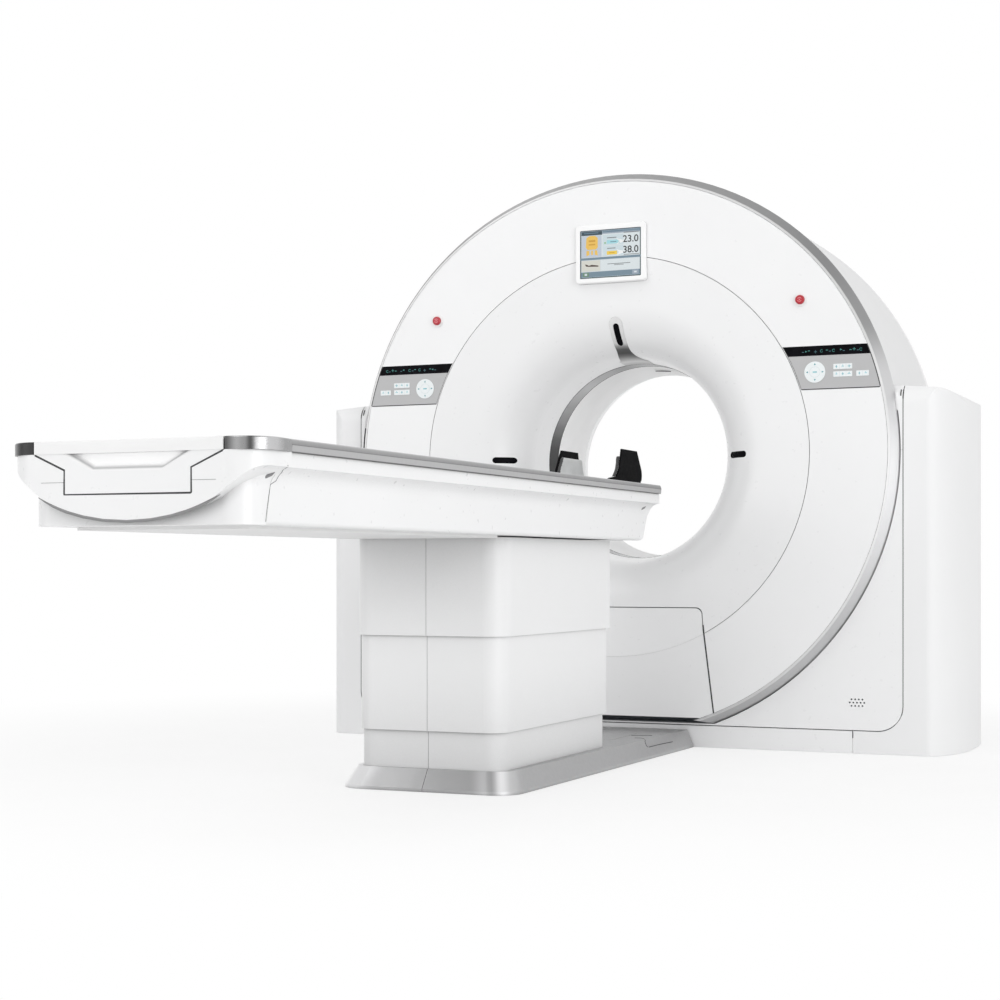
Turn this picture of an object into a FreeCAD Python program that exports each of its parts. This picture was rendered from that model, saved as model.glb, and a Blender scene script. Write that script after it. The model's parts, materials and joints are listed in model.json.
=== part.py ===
import FreeCAD, Part

import math
import os

from FreeCAD import Placement, Rotation, Vector
from Sketcher import Constraint

# A computed tomography scanner: a round gantry on a squared foot, with the rotor that carries
# the X-ray tube and the detector inside it, and a patient table that lifts on a telescopic
# column and runs its cradle through the bore.
#
# Frame, in millimetres: the origin is on the floor under the bore axis, at the front face.
# X points to the right for someone who looks into the bore, Y runs along the patient's travel
# into the gantry, and Z is up.

doc = FreeCAD.newDocument("ct_scanner")
sheet = doc.addObject("Spreadsheet::Sheet", "Dimensions")


class Dim:
    """A size with the sheet's formula that gives it, so that a drawn point stays bound."""

    def __init__(self, number, text=None):
        self.number = float(number)
        self.text = text if text is not None else f"{self.number:.9g}"

    def __add__(self, other):
        other = dim(other)
        return Dim(self.number + other.number, f"({self.text} + {other.text})")

    def __sub__(self, other):
        other = dim(other)
        return Dim(self.number - other.number, f"({self.text} - {other.text})")

    def __mul__(self, other):
        other = dim(other)
        return Dim(self.number * other.number, f"({self.text} * {other.text})")

    def __truediv__(self, other):
        other = dim(other)
        return Dim(self.number / other.number, f"({self.text} / {other.text})")

    def __neg__(self):
        return Dim(-self.number, f"(0 - {self.text})")

    def __radd__(self, other):
        return dim(other) + self

    def __rsub__(self, other):
        return dim(other) - self

    def __rmul__(self, other):
        return dim(other) * self


def dim(value):
    return value if isinstance(value, Dim) else Dim(value)


def leg(hypotenuse, side):
    """The third side of a right triangle: a circle's half width at a height."""
    hypotenuse, side = dim(hypotenuse), dim(side)
    number = math.sqrt(hypotenuse.number ** 2 - side.number ** 2)
    return Dim(number, f"sqrt({hypotenuse.text} ^ 2 - {side.text} ^ 2)")


def cell(alias, value, note):
    """Adds a driving dimension to the sheet."""
    cell.row += 1
    sheet.set(f"A{cell.row}", note)
    sheet.set(f"B{cell.row}", str(value))
    sheet.setAlias(f"B{cell.row}", alias)
    return Dim(value, f"Dimensions.{alias}")


cell.row = 0

# ---------------------------------------------------------------- driving dimensions
# Gantry
axis_height = cell("axis_height", 1000, "bore axis above the floor")
front = cell("front_face", 0, "Y of the gantry's front face")
wall = cell("cover_wall", 5, "thickness of a moulded cover")
seam = cell("cover_seam", 3, "gap between neighbouring covers")
bore_radius = cell("bore_radius", 350, "bore at the silver band")
rear_bore_radius = cell("rear_bore_radius", 340, "bore at its rear end")
band_front = cell("band_front", 310, "front edge of the bore band behind the front face")
band_rear = cell("band_rear", 400, "rear edge of the bore band")
liner_rear = cell("liner_rear", 660, "rear edge of the bore liner")
seam_radius = cell("seam_radius", 693, "circle between the funnel and the front face")
dish_radius = cell("dish_radius", 525, "where the funnel's flat dish starts to roll inwards")
dish_depth = cell("dish_depth", 24.4, "depth of the dish at that radius")
lip_radius = cell("lip_radius", 192, "radius of the funnel's roll")
throat_radius = cell("throat_radius", 361, "bore radius where the roll ends")
throat_depth = cell("throat_depth", 195, "depth where the roll ends")
ring_inner = cell("ring_inner", 951, "inner edge of the silver ring")
ring_front = cell("ring_front", 957, "front edge of the silver ring")
ring_outer = cell("ring_outer", 983, "rear edge of the silver ring")
ring_depth = cell("ring_depth", 48, "depth of the silver ring")
chord_drop = cell("chord_drop", 916, "flat under the ring, below the bore axis")
chord_rise = cell("chord_rise", 12, "that flat rises by this to the ring's front edge")
drum_radius = cell("drum_radius", 975, "outside of the drum behind the ring")
surround_step = cell("surround_step", 42, "lower front plate behind the front face")
surround_half = cell("surround_half", 990, "half width of the lower front plate")
surround_top = cell("surround_top", 222, "top of the lower front plate above the bore axis")
skirt_top = cell("skirt_top", 75, "seam above the skirt")
skirt_half = cell("skirt_half", 828, "half width of the middle skirt")
side_half = cell("side_half", 1165, "half width of the whole gantry")
side_depth = cell("side_depth", 800, "rear of the side covers behind the front face")
rear_depth = cell("rear_depth", 850, "rear face behind the front face")
slot_radius = cell("slot_radius", 430, "laser window, from the bore axis")
slot_half = cell("slot_half", 36, "half length of a laser window")
slot_half_width = cell("slot_half_width", 11, "half width of a laser window")
tongue_half = cell("tongue_half", 24, "half width of the tongue over the bore")
tongue_tip = cell("tongue_tip", 487, "end of the tongue, above the bore axis")
rear_round = cell("rear_round", 60, "rounded edge of the rear cover")
surround_corner = cell("surround_corner", 82, "radius of the lower front plate's corners")
speaker_x = cell("speaker_x", 841, "middle of the speaker holes, from the centre line")
speaker_z = cell("speaker_z", -831, "and from the bore axis")
speaker_pitch = cell("speaker_pitch", 12, "pitch of the speaker holes")
corner_across = cell("corner_across", 100, "elliptical corner of a side cover, across")
corner_along = cell("corner_along", 300, "elliptical corner of a side cover, along")
corner_rear = cell("corner_rear", 380, "the same at the rear, along")
side_outer_top = cell("side_outer_top", 203, "top of a side cover where its outer edge rounds off")
side_round = cell("side_round", 66, "radius of that top edge all round")
floor_gap = cell("floor_gap", 1.5, "gap between the covers and the floor")
# Service cover, display, panels and stops
service_top = cell("service_top", -522, "top of the service cover, from the bore axis")
service_top_half = cell("service_top_half", 322, "its half width there")
service_foot_half = cell("service_foot_half", 366, "its half width at the foot")
service_corner = cell("service_corner", 24, "radius of its top corners")
display_low = cell("display_low", 603, "lower edge of the display, above the bore axis")
display_high = cell("display_high", 805, "its upper edge")
display_half = cell("display_half", 128, "its half width")
panel_low = cell("panel_low", 207, "lower edge of a control panel, above the bore axis")
panel_split = cell("panel_split", 316, "edge between its keys and its status strip")
panel_high = cell("panel_high", 349, "its upper edge")
panel_recess = cell("panel_recess", 2, "thickness of the panel, sunk in the face")
stop_x = cell("stop_x", 662, "emergency stop, from the centre line")
stop_z = cell("stop_z", 504, "emergency stop, above the bore axis")
stop_neck = cell("stop_neck", 17, "radius of its hole in the face")
key_rise = cell("key_rise", 1, "a panel's keys stand this far above it")
pad_disc_x = cell("pad_disc_x", 711, "round direction pad, from the centre line")
pad_disc_z = cell("pad_disc_z", 262, "round direction pad, above the bore axis")
pad_disc_radius = cell("pad_disc_radius", 36, "radius of the direction pad")
key_width = cell("key_width", 19.5, "width of a key")
key_height = cell("key_height", 17, "height of a key")
key_column = cell("key_column", 773, "left edge of the first key, from the centre line")
stop_collar = cell("stop_collar", 22, "radius of the emergency stop's collar")
stop_button = cell("stop_button", 15, "radius of its red button")
stop_stem = cell("stop_stem", 9, "radius of the button's stem")
stop_travel = cell("stop_travel", 5, "how far the button goes in")
# Table
table_half = cell("table_half", 312, "half width of the table over its rails")
foot_end = cell("foot_end", -2990, "foot end of the table, from the gantry's front face")
rail_top = cell("rail_top", -122, "top of the table's rail, from the bore axis")
rail_depth = cell("rail_depth", 27, "height of the rail")
rail_start = cell("rail_start", -2850, "seam between rail and corner trim")
rail_finish = cell("rail_finish", -405, "head end of the rail")
body_bottom = cell("body_bottom", -299, "underside of the table body, from the bore axis")
upper_half = cell("upper_half", 304, "half width of the table body's upper band")
lower_half = cell("lower_half", 271, "half width of the table body's lower part")
channel_half = cell("channel_half", 153, "half width of the channel under the cradle")
channel_floor = cell("channel_floor", -233, "bottom of the carriage, from the bore axis")
cradle_half = cell("cradle_half", 230, "half width of the cradle")
cradle_head = cell("cradle_head", -300, "head end of the cradle, from the gantry's front face")
deck_height = cell("deck_height", 61, "top of the silver base")
column_front = cell("column_front", -1526, "front of the column's top cover")
column_rear = cell("column_rear", -650, "rear of the column's top cover")
column_half = cell("column_half", 227, "half width of the column's top cover")
column_step = cell("column_step", 5, "each lower cover is narrower by this on a side")
column_front_step = cell("column_front_step", 8, "and starts this far behind")
column_rear_step = cell("column_rear_step", 20, "and shorter by this at the rear")
upper_seam = cell("upper_seam", -573, "lower edge of the top cover, from the bore axis")
middle_seam = cell("middle_seam", -835, "lower edge of the middle cover, from the bore axis")
# Rotor
rotor_plate_front = cell("rotor_plate_front", 560, "front of the rotor plate behind the face")
rotor_plate_thick = cell("rotor_plate_thick", 30, "thickness of the rotor plate")
rim_radius = cell("rim_radius", 900, "rotor rim that the belt drives")
pulley_radius = cell("pulley_radius", 60, "motor pulley")
focus_radius = cell("focus_radius", 570, "focal spot from the bore axis")
detector_radius = cell("detector_radius", 1040, "detector face from the focal spot")
roller_pitch = cell("roller_pitch", 465, "pitch radius of the main bearing's rollers")
roller_radius = cell("roller_radius", 10, "radius of a bearing roller")
running_gap = cell("running_gap", 0.05, "radial clearance of the running fits")
# Frame, bearing and drive
frame_half = cell("frame_half", 1110, "half width of the steel frame")
yoke_front = cell("yoke_front", 600, "front of the frame's yoke, behind the front face")
yoke_depth = cell("yoke_depth", 140, "depth of the yoke")
yoke_radius = cell("yoke_radius", 960, "round seat of the yoke")
stator_front = cell("stator_front", 640, "front of the stator ring, behind the front face")
rail_x = cell("rail_x", 700, "the frame's base rails, from the centre line")
foot_radius = cell("foot_radius", 35, "radius of a levelling foot")
hub_radius = cell("hub_radius", 430, "seat of the main bearing on the rotor's hub")
race_radius = cell("race_radius", 455, "running surface of the main bearing")
stator_radius = cell("stator_radius", 520, "seat of the main bearing in the stator ring")
rotor_bore = cell("rotor_bore", 375, "clear hole through the rotor")
motor_x = cell("motor_x", 800, "drive motor, from the centre line")
motor_z = cell("motor_z", -640, "drive motor, from the bore axis")
motor_radius = cell("motor_radius", 90, "radius of the drive motor")
belt_front = cell("belt_front", 564, "front edge of the belt, behind the front face")
belt_width = cell("belt_width", 28, "width of the belt")
belt_thick = cell("belt_thick", 4, "thickness of the belt")
# Base, body and cradle of the table
plate_half = cell("plate_half", 230, "half width of the table's base plate")
plate_thick = cell("plate_thick", 12, "thickness of that plate")
base_front = cell("base_front", -1552, "front of the silver base, from the front face")
base_bevel = cell("base_bevel", 37, "the base's deck starts this far behind its foot")
base_half = cell("base_half", 266, "half width of the base at its front")
base_rear_half = cell("base_rear_half", 283, "half width of the base at the gantry")
base_rear = cell("base_rear", 36, "rear end of the base, from the front face")
base_corner = cell("base_corner", 78, "radius of the base's front corners")
column_corner = cell("column_corner", 60, "radius of the top cover's front corners")
column_rear_corner = cell("column_rear_corner", 12, "radius of a cover's rear corners")
tube_middle = cell("tube_middle", -1072, "middle of the lift tubes, from the front face")
tube_half = cell("tube_half", 90, "half width of the outer lift tube")
tube_length = cell("tube_length", 150, "half length of the outer lift tube")
tube_wall = cell("tube_wall", 6, "wall of a lift tube")
tube_step = cell("tube_step", 7, "each tube is smaller by this on a side")
band_low = cell("band_low", -180, "lower edge of the table's upper band, from the bore axis")
undercut = cell("undercut", 33, "radius of the hollow under the band")
deck_top = cell("deck_top", -126, "white deck beside the cradle, from the bore axis")
deck_inner = cell("deck_inner", 238, "inner edge of that deck")
table_wall = cell("table_wall", 4, "wall of the table's covers")
foot_face = cell("foot_face", -2988, "face of the foot cover, from the front face")
bulge_half = cell("bulge_half", 311, "half width of the foot cover's bulge")
bulge_corner = cell("bulge_corner", 75, "radius of its corners")
bulge_drop = cell("bulge_drop", -290, "lowest point of its lip, from the bore axis")
bulge_radius = cell("bulge_radius", 500, "radius of its lip")
sweep_half = cell("sweep_half", 212, "half width of the lip's long sweep")
swing_half = cell("swing_half", 283, "half width where the lip swings upwards")
swing_start = cell("swing_start", -190.5, "height there, from the bore axis")
swing_radius = cell("swing_radius", 43, "radius of that swing")
swing_end = cell("swing_end", 308, "half width where it ends under the band")
turn_radius = cell("turn_radius", 93, "radius of the foot's lower corners from above")
turn_half = cell("turn_half", 211, "half the distance between their centres")
turn_back = cell("turn_back", 94, "depth of their centres behind the foot")
rail_inner = cell("rail_inner", 290, "inner edge of the rail")
channel_gap = cell("channel_gap", 1.5, "gap round the sliding carriage")
holder_radius = cell("holder_radius", 115, "outside radius of the head holder")
holder_wall = cell("holder_wall", 6, "wall of the head holder's shell")
holder_pad = cell("holder_pad", 14, "thickness of its pad")
holder_low = cell("holder_low", -50, "centre of its curve, from the bore axis")
holder_top = cell("holder_top", 12, "top of its wings, from the bore axis")
doc.recompute()

sub_parts = []


# ---------------------------------------------------------------- drawing helpers
def bind(thing, prop, value):
    """Sets a property and binds it to the sheet."""
    value = dim(value)
    if "." not in prop:
        setattr(thing, prop, value.number)
    thing.setExpression(prop, value.text)


def place(thing, x=0, y=0, z=0, rotation=None):
    """Puts a primitive at a point that stays bound to the sheet."""
    x, y, z = dim(x), dim(y), dim(z)
    thing.Placement = Placement(
        Vector(x.number, y.number, z.number), rotation or Rotation()
    )
    for axis, value in (("x", x), ("y", y), ("z", z)):
        thing.setExpression(f"Placement.Base.{axis}", value.text)


def new_body(name):
    body = doc.addObject("PartDesign::Body", name)
    body.Label = name
    return body


def new_sketch(body, plane, offset=(0, 0, 0)):
    """A sketch on an origin plane of its body, moved by bound amounts in the plane's own axes."""
    sketch = body.newObject("Sketcher::SketchObject", f"{body.Name}_sketch")
    support = [f for f in body.Origin.OriginFeatures if f.Role == plane][0]
    sketch.AttachmentSupport = [(support, "")]
    sketch.MapMode = "FlatFace"
    offset = [dim(value) for value in offset]
    sketch.AttachmentOffset = Placement(Vector(*[v.number for v in offset]), Rotation())
    for axis, value in zip("xyz", offset):
        sketch.setExpression(f"AttachmentOffset.Base.{axis}", value.text)
    return sketch


def front_sketch(body, depth=0):
    """A sketch seen from the front, in X and in height over the bore axis, at a depth behind
    the front face."""
    return new_sketch(body, "XZ_Plane", (0, axis_height, -(front + depth)))


def side_sketch(body, x=0):
    """A sketch in depth behind the front face and in height over the bore axis."""
    return new_sketch(body, "YZ_Plane", (front, axis_height, x))


def plan_sketch(body, z=0):
    """A sketch seen from above, in X and in depth behind the front face."""
    return new_sketch(body, "XY_Plane", (0, front, z))


def arc_between(start, end, radius):
    """The arc under a half turn from start to end; a positive radius bends to the left."""
    chord = end - start
    half = chord.Length / 2
    rise = math.sqrt(max(radius * radius - half * half, 0))
    left = Vector(-chord.y, chord.x, 0).normalize()
    side = 1 if radius > 0 else -1
    centre = (start + end) * 0.5 + left * (rise * side)
    circle = Part.Circle(centre, Vector(0, 0, 1), abs(radius))
    first, last = (start, end) if radius > 0 else (end, start)
    return Part.ArcOfCircle(circle, circle.parameter(first), circle.parameter(last))


def pin(sketch, pins):
    """Adds constraints in one go, and binds each that has a formula to the sheet."""
    places = sketch.addConstraint([constraint for constraint, _ in pins])
    for index, (_, text) in zip(places, pins):
        if text:
            sketch.setExpression(f"Constraints[{index}]", text)


def outline(sketch, stations):
    """Draws a closed outline and pins it to the sheet.

    A station is (a, b) for a straight run to the next station, or (a, b, radius) for an arc
    to it, to the left of the way there when the radius is positive.
    """
    points = [(dim(s[0]), dim(s[1])) for s in stations]
    count = len(stations)
    ends = []
    for i, station in enumerate(stations):
        start = Vector(points[i][0].number, points[i][1].number, 0)
        after = points[(i + 1) % count]
        end = Vector(after[0].number, after[1].number, 0)
        if len(station) == 3:
            radius = dim(station[2])
            piece = sketch.addGeometry(arc_between(start, end, radius.number))
            turned = radius.number < 0
            ends.append((piece, 2, 1) if turned else (piece, 1, 2))
        else:
            piece = sketch.addGeometry(Part.LineSegment(start, end))
            ends.append((piece, 1, 2))
    pins = []
    for i, (piece, start, last) in enumerate(ends):
        following, meeting, _ = ends[(i + 1) % count]
        pins.append((Constraint("Coincident", piece, last, following, meeting), None))
        for kind, value in zip(("DistanceX", "DistanceY"), points[i]):
            pins.append((Constraint(kind, -1, 1, piece, start, value.number), value.text))
        if len(stations[i]) == 3:
            radius = dim(stations[i][2])
            pins.append(
                (Constraint("Radius", piece, abs(radius.number)), f"abs({radius.text})")
            )
    pin(sketch, pins)


def circle(sketch, a, b, radius):
    """Draws a circle and pins it to the sheet."""
    a, b, radius = dim(a), dim(b), dim(radius)
    centre = Vector(a.number, b.number, 0)
    piece = sketch.addGeometry(Part.Circle(centre, Vector(0, 0, 1), radius.number))
    pins = [(Constraint("Radius", piece, radius.number), radius.text)]
    for kind, value in (("DistanceX", a), ("DistanceY", b)):
        pins.append((Constraint(kind, -1, 1, piece, 3, value.number), value.text))
    pin(sketch, pins)


def rectangle(low_a, low_b, high_a, high_b):
    return [(low_a, low_b), (high_a, low_b), (high_a, high_b), (low_a, high_b)]


def rounded(low_a, low_b, high_a, high_b, radius):
    """A rectangle's outline with quarter-round corners."""
    low_a, low_b, high_a, high_b, r = map(dim, (low_a, low_b, high_a, high_b, radius))
    return [
        (low_a + r, low_b),
        (high_a - r, low_b, r),
        (high_a, low_b + r),
        (high_a, high_b - r, r),
        (high_a - r, high_b),
        (low_a + r, high_b, r),
        (low_a, high_b - r),
        (low_a, low_b + r, r),
    ]


def slot(a, b, half_length, radius, upright=True):
    """An oblong hole's outline: straight sides and half-round ends, in quarter arcs."""
    a, b, length, r = dim(a), dim(b), dim(half_length) - radius, dim(radius)
    if upright:
        return [
            (a + r, b - length), (a + r, b + length, r), (a, b + length + r, r),
            (a - r, b + length), (a - r, b - length, r), (a, b - length - r, r),
        ]
    return [
        (a + length, b + r), (a - length, b + r, r), (a - length - r, b, r),
        (a - length, b - r), (a + length, b - r, r), (a + length + r, b, r),
    ]


def revolution(body, stations, degrees=360):
    """Turns a (depth, radius) outline about the bore axis; less than a turn is centred on top."""
    sketch = side_sketch(body)
    outline(sketch, stations)
    turn = body.newObject("PartDesign::Revolution", f"{body.Name}_turn")
    turn.Profile = sketch
    turn.ReferenceAxis = (sketch, ["H_Axis"])
    turn.Angle = degrees
    turn.Midplane = degrees < 360
    doc.recompute()
    return body


def pad(body, sketch, length, backwards=False):
    """Pads along the plane's normal, or the other way."""
    feature = body.newObject("PartDesign::Pad", f"{body.Name}_pad")
    feature.Profile = sketch
    feature.Reversed = backwards
    bind(feature, "Length", length)
    doc.recompute()
    return feature


def pad_back(body, stations, depth, length):
    """Pads a front outline from a depth behind the front face towards the rear."""
    sketch = front_sketch(body, depth)
    outline(sketch, stations)
    return pad(body, sketch, length, backwards=True)


def pad_up(body, stations, z, length):
    """Pads a plan outline upwards from a height."""
    sketch = plan_sketch(body, z)
    outline(sketch, stations)
    return pad(body, sketch, length)


def pad_across(body, stations, half):
    """Pads a side outline equally to the left and the right."""
    sketch = side_sketch(body)
    outline(sketch, stations)
    feature = pad(body, sketch, dim(half) * 2)
    feature.Midplane = True
    doc.recompute()
    return feature


def pocket(body, sketch, length=4000, one_way=None):
    """Cuts an outline both ways, or only against (False) or along (True) its plane's normal."""
    before = body.Shape.Volume
    feature = body.newObject("PartDesign::Pocket", f"{body.Name}_pocket")
    feature.Profile = sketch
    bind(feature, "Length", length)
    if one_way is None:
        feature.Midplane = True
    else:
        feature.Reversed = one_way
    doc.recompute()
    assert body.Shape.Volume < before - 1, f"{body.Name}: a pocket cuts nothing"
    return feature


def cut_front(body, stations, depth=0, length=4000, one_way=None):
    sketch = front_sketch(body, depth)
    outline(sketch, stations)
    return pocket(body, sketch, length, one_way)


def cut_side(body, stations, x=0, length=4000, one_way=None):
    sketch = side_sketch(body, x)
    outline(sketch, stations)
    return pocket(body, sketch, length, one_way)


def cut_plan(body, stations, z=0, length=4000, one_way=None):
    sketch = plan_sketch(body, z)
    outline(sketch, stations)
    return pocket(body, sketch, length, one_way)


def fillet(body, chosen, radius, kind="PartDesign::Fillet"):
    """Rounds the edges that chosen(edge) picks from the body's last feature."""
    tip = body.Tip
    names = [f"Edge{n}" for n, edge in enumerate(tip.Shape.Edges, 1) if chosen(edge)]
    assert names, f"{body.Name}: no edge to round"
    feature = body.newObject(kind, f"{body.Name}_round")
    feature.Base = (tip, names)
    bind(feature, "Radius" if kind.endswith("Fillet") else "Size", radius)
    doc.recompute()
    return feature


def boolean(kind, name, base, tool):
    result = doc.addObject(f"Part::{kind}", name)
    result.Label = name
    result.Base = base
    result.Tool = tool
    doc.recompute()
    return result


def mirrored(thing, name):
    """Keeps the left-hand twin of a right-hand sub-part."""
    mirror = doc.addObject("Part::Mirroring", name)
    mirror.Source = thing
    mirror.Normal = Vector(1, 0, 0)
    doc.recompute()
    return keep(mirror, name)


def keep(thing, name=None):
    """Lists a finished sub-part under the name of its file."""
    thing.Label = name or thing.Label
    sub_parts.append(thing)
    return thing


# ---------------------------------------------------------------- gantry covers
chord_front = chord_rise - chord_drop
face_bottom = chord_front + 7


def ring_cone(name, thinner):
    """A frustum cut flat at its foot, smaller by a wall thickness."""
    cone = doc.addObject("Part::Cone", f"{name}_cone")
    bind(cone, "Radius1", ring_front - thinner)
    bind(cone, "Radius2", ring_outer - thinner)
    bind(cone, "Height", ring_depth)
    place(cone, 0, front, axis_height, Rotation(Vector(1, 0, 0), -90))
    block = doc.addObject("Part::Box", f"{name}_flat")
    block.Length, block.Width, block.Height = 2400, 400, 400
    slope = math.degrees(math.atan2(chord_rise.number, ring_depth.number))
    turn = Rotation(Vector(1, 0, 0), -slope)
    corner = turn.multVec(Vector(0, -200, -400))
    place(
        block, -1200, front + corner.y, axis_height + chord_front + corner.z, turn,
    )
    return boolean("Cut", f"{name}_profile", cone, block)


ring_trim = keep(
    boolean("Cut", "ring_trim", ring_cone("ring_outside", 0), ring_cone("ring_inside", 6))
)

# The trapezoid cover that gives access under the bore


def service_outline(grow):
    """The service cover's outline from the front, grown on its top and sides."""
    top, half, foot = service_top + grow, service_top_half + grow, service_foot_half + grow
    low = face_bottom - grow
    return [
        (-foot, low), (foot, low), (half, top - service_corner, service_corner),
        (half - service_corner, top), (service_corner - half, top, service_corner),
        (-half, top - service_corner),
    ]


# The display straddles the circle between face and funnel
panel_inner = seam_radius + 4
panel_outer = ring_inner - 3


def panel_outline(side, low, high):
    """A band of the face between the seam circle and the ring; side is 1 or -1."""
    corners = [
        (leg(panel_inner, low), low, panel_inner),
        (leg(panel_inner, high), high),
        (leg(panel_outer, high), high, -panel_outer),
        (leg(panel_outer, low), low),
    ]
    return [(side * c[0], c[1], *[side * r for r in c[2:]]) for c in corners]


face = revolution(
    new_body("front_face_cover"),
    [
        (0, seam_radius + 1), (0, ring_inner - 1), (wall, ring_inner - 1),
        (wall, seam_radius + wall + 1), (30, seam_radius + wall + 1), (30, seam_radius + 1),
    ],
)
cut_front(face, rectangle(-1000, -1000, 1000, face_bottom))
cut_front(face, service_outline(seam / 2))
cut_front(
    face,
    rounded(-display_half - 0.5, display_low - 0.5, display_half + 0.5, display_high + 0.5, 12),
)
for side in (-1, 1):
    cut_front(face, panel_outline(side, panel_low, panel_high), 0, panel_recess, False)
    hole = front_sketch(face)
    circle(hole, side * stop_x, stop_z, stop_neck)
    pocket(face, hole)
keep(face)

# The funnel: a shallow dish that rolls into the throat of the bore


def funnel_section(inset, outset, edge):
    """The funnel's section between two offsets of its visible face, out to an edge radius."""
    def face_line(offset):
        return [
            (band_front - 1, bore_radius + 0.5 + offset),
            (throat_depth + offset * 0.1, throat_radius + offset, offset - lip_radius),
            (dish_depth + offset, dish_radius + offset * 0.15),
            ((seam_radius - edge) * 0.146 + offset, edge),
        ]

    seen, hidden = face_line(inset), face_line(outset)
    back = [
        hidden[3], (hidden[2][0], hidden[2][1], lip_radius - outset),
        (hidden[1][0], hidden[1][1]), hidden[0],
    ]
    return seen + back


def tongue_outline(grow):
    """The tongue over the bore from the front, with a half-round tip and flared foot."""
    half, tip = tongue_half + grow, tongue_tip + grow
    foot = half + 30
    return [
        (half, 388), (half, tip - half, half), (0, tip, half), (-half, tip - half),
        (-half, 388, -34), (-foot, 352), (-foot, 330), (foot, 330), (foot, 352, -34),
    ]


funnel = revolution(
    new_body("funnel_cover"), funnel_section(dim(0), wall, seam_radius - 1)
)
cut_front(funnel, service_outline(seam / 2))
cut_front(
    funnel,
    rounded(-display_half - 0.5, display_low - 0.5, display_half + 0.5, display_high + 0.5, 12),
)
cut_front(funnel, tongue_outline(0.5))
for side in (-1, 1):
    cut_front(funnel, slot(side * slot_radius, 0, slot_half, slot_half_width, upright=False))
keep(funnel)

service_shell = revolution(
    new_body("service_shell"),
    [
        (dish_depth, dish_radius), (0, seam_radius - 1), (1.5, seam_radius), (0, seam_radius + 1),
        (0, ring_inner - 1), (wall, ring_inner - 1), (wall, seam_radius),
        (dish_depth + wall, dish_radius), (dish_depth + 7.5 + wall, 470), (dish_depth + 8, 470),
    ],
)
service_prism = new_body("service_prism")
pad_back(service_prism, service_outline(-seam / 2), -50, 200)
keep(boolean("Common", "service_cover", service_shell, service_prism))

# The silver band in the bore, with the tongue that runs up over the funnel's lip
band = revolution(
    new_body("bore_band"),
    rectangle(band_front - 1, bore_radius, band_rear, bore_radius + wall),
)
tongue_shell = revolution(
    new_body("tongue_shell"), funnel_section(dim(-1), wall, dim(520))
)
tongue_prism = new_body("tongue_prism")
pad_back(tongue_prism, tongue_outline(0), -50, 500)
cut_front(tongue_prism, slot(0, slot_radius, slot_half, slot_half_width))
tongue = boolean("Common", "tongue", tongue_shell, tongue_prism)
keep(boolean("Fuse", "bore_trim_ring", band, tongue))

liner = revolution(
    new_body("bore_liner"),
    [
        (band_rear + 0.5, bore_radius), (liner_rear, rear_bore_radius),
        (liner_rear, rear_bore_radius + 4), (band_rear + 0.5, bore_radius + 4),
    ],
)
# A thin window over the scan plane, in the top of the liner
window = plan_sketch(liner, axis_height + 200)
outline(window, rounded(-8, 485, 112, 495, 4))
pocket(liner, window, 400, True)
keep(liner)

# The drum behind the ring, and the rear cover with its own funnel
drum = revolution(
    new_body("drum_shell"),
    rectangle(ring_depth, drum_radius - wall, 757, drum_radius),
    156,
)
keep(drum)


def rear_form(name, inset, front_edge):
    """The rear cover's form, smaller by an inset: a round end on a squared foot."""
    half, back, edge = surround_half - 2 - inset, rear_depth - inset, rear_round - inset
    disc = revolution(
        new_body(f"{name}_disc"),
        [
            (front_edge, 300), (back, 300), (back, drum_radius - inset - edge, edge),
            (back - edge, drum_radius - inset), (front_edge, drum_radius - inset),
        ],
    )
    foot = new_body(f"{name}_foot")
    pad_up(
        foot,
        [
            (-half, front_edge), (half, front_edge), (half, back - edge, edge),
            (half - edge, back), (edge - half, back, edge), (-half, back - edge),
        ],
        floor_gap + inset, axis_height + surround_top - floor_gap - inset * 2,
    )
    return boolean("Fuse", name, disc, foot)


rear_shell = boolean(
    "Cut", "rear_shell", rear_form("rear_outside", dim(0), 757), rear_form("rear_inside", wall, 740)
)
rear_bore = new_body("rear_bore")
pad_back(rear_bore, [(530, 0, 530), (0, 530, 530), (-530, 0, 530), (0, -530, 530)], 700, 300)
rear_plate = boolean("Cut", "rear_plate", rear_shell, rear_bore)
rear_funnel = revolution(
    new_body("rear_funnel"),
    [
        (liner_rear + 0.5, rear_bore_radius), (716, 348, -150), (rear_depth - 8, 450),
        (rear_depth, 530), (rear_depth - wall, 530), (rear_depth - 12, 453, 145),
        (716, 353), (liner_rear + 0.5, rear_bore_radius + 4),
    ],
)
keep(boolean("Fuse", "rear_cover", rear_plate, rear_funnel))

# The lower front plate round the ring: open at the top, with a return flange on three sides
surround_low = skirt_top + seam - axis_height


def surround_outline(inset, top):
    half, low, r = surround_half - inset, surround_low + inset, surround_corner - inset
    return [
        (r - half, low), (half - r, low, r), (half, low + r), (half, top), (-half, top),
        (-half, low + r, r),
    ]


def ring_seat(gap):
    """The ring's outer edge from the front: a circle with a flat foot, grown by a gap."""
    radius, drop = ring_outer + gap, chord_drop + gap
    side = leg(radius, drop)
    return [
        (-side, -drop), (side, -drop, radius), (radius, 0, radius), (0, radius, radius),
        (-radius, 0, radius),
    ]


surround = new_body("front_surround_cover")
pad_back(surround, surround_outline(0, surround_top), surround_step, 30)
cut_front(
    surround, surround_outline(wall, surround_top + 20), surround_step + wall, 100, False
)
cut_front(surround, ring_seat(1))
speaker = front_sketch(surround)
for row, count in ((-1, 4), (0, 5), (1, 4)):
    for i in range(count):
        circle(
            speaker, speaker_x + speaker_pitch * (i - (count - 1) / 2),
            speaker_z + speaker_pitch * 0.9 * row, 3,
        )
pocket(surround, speaker)
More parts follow.
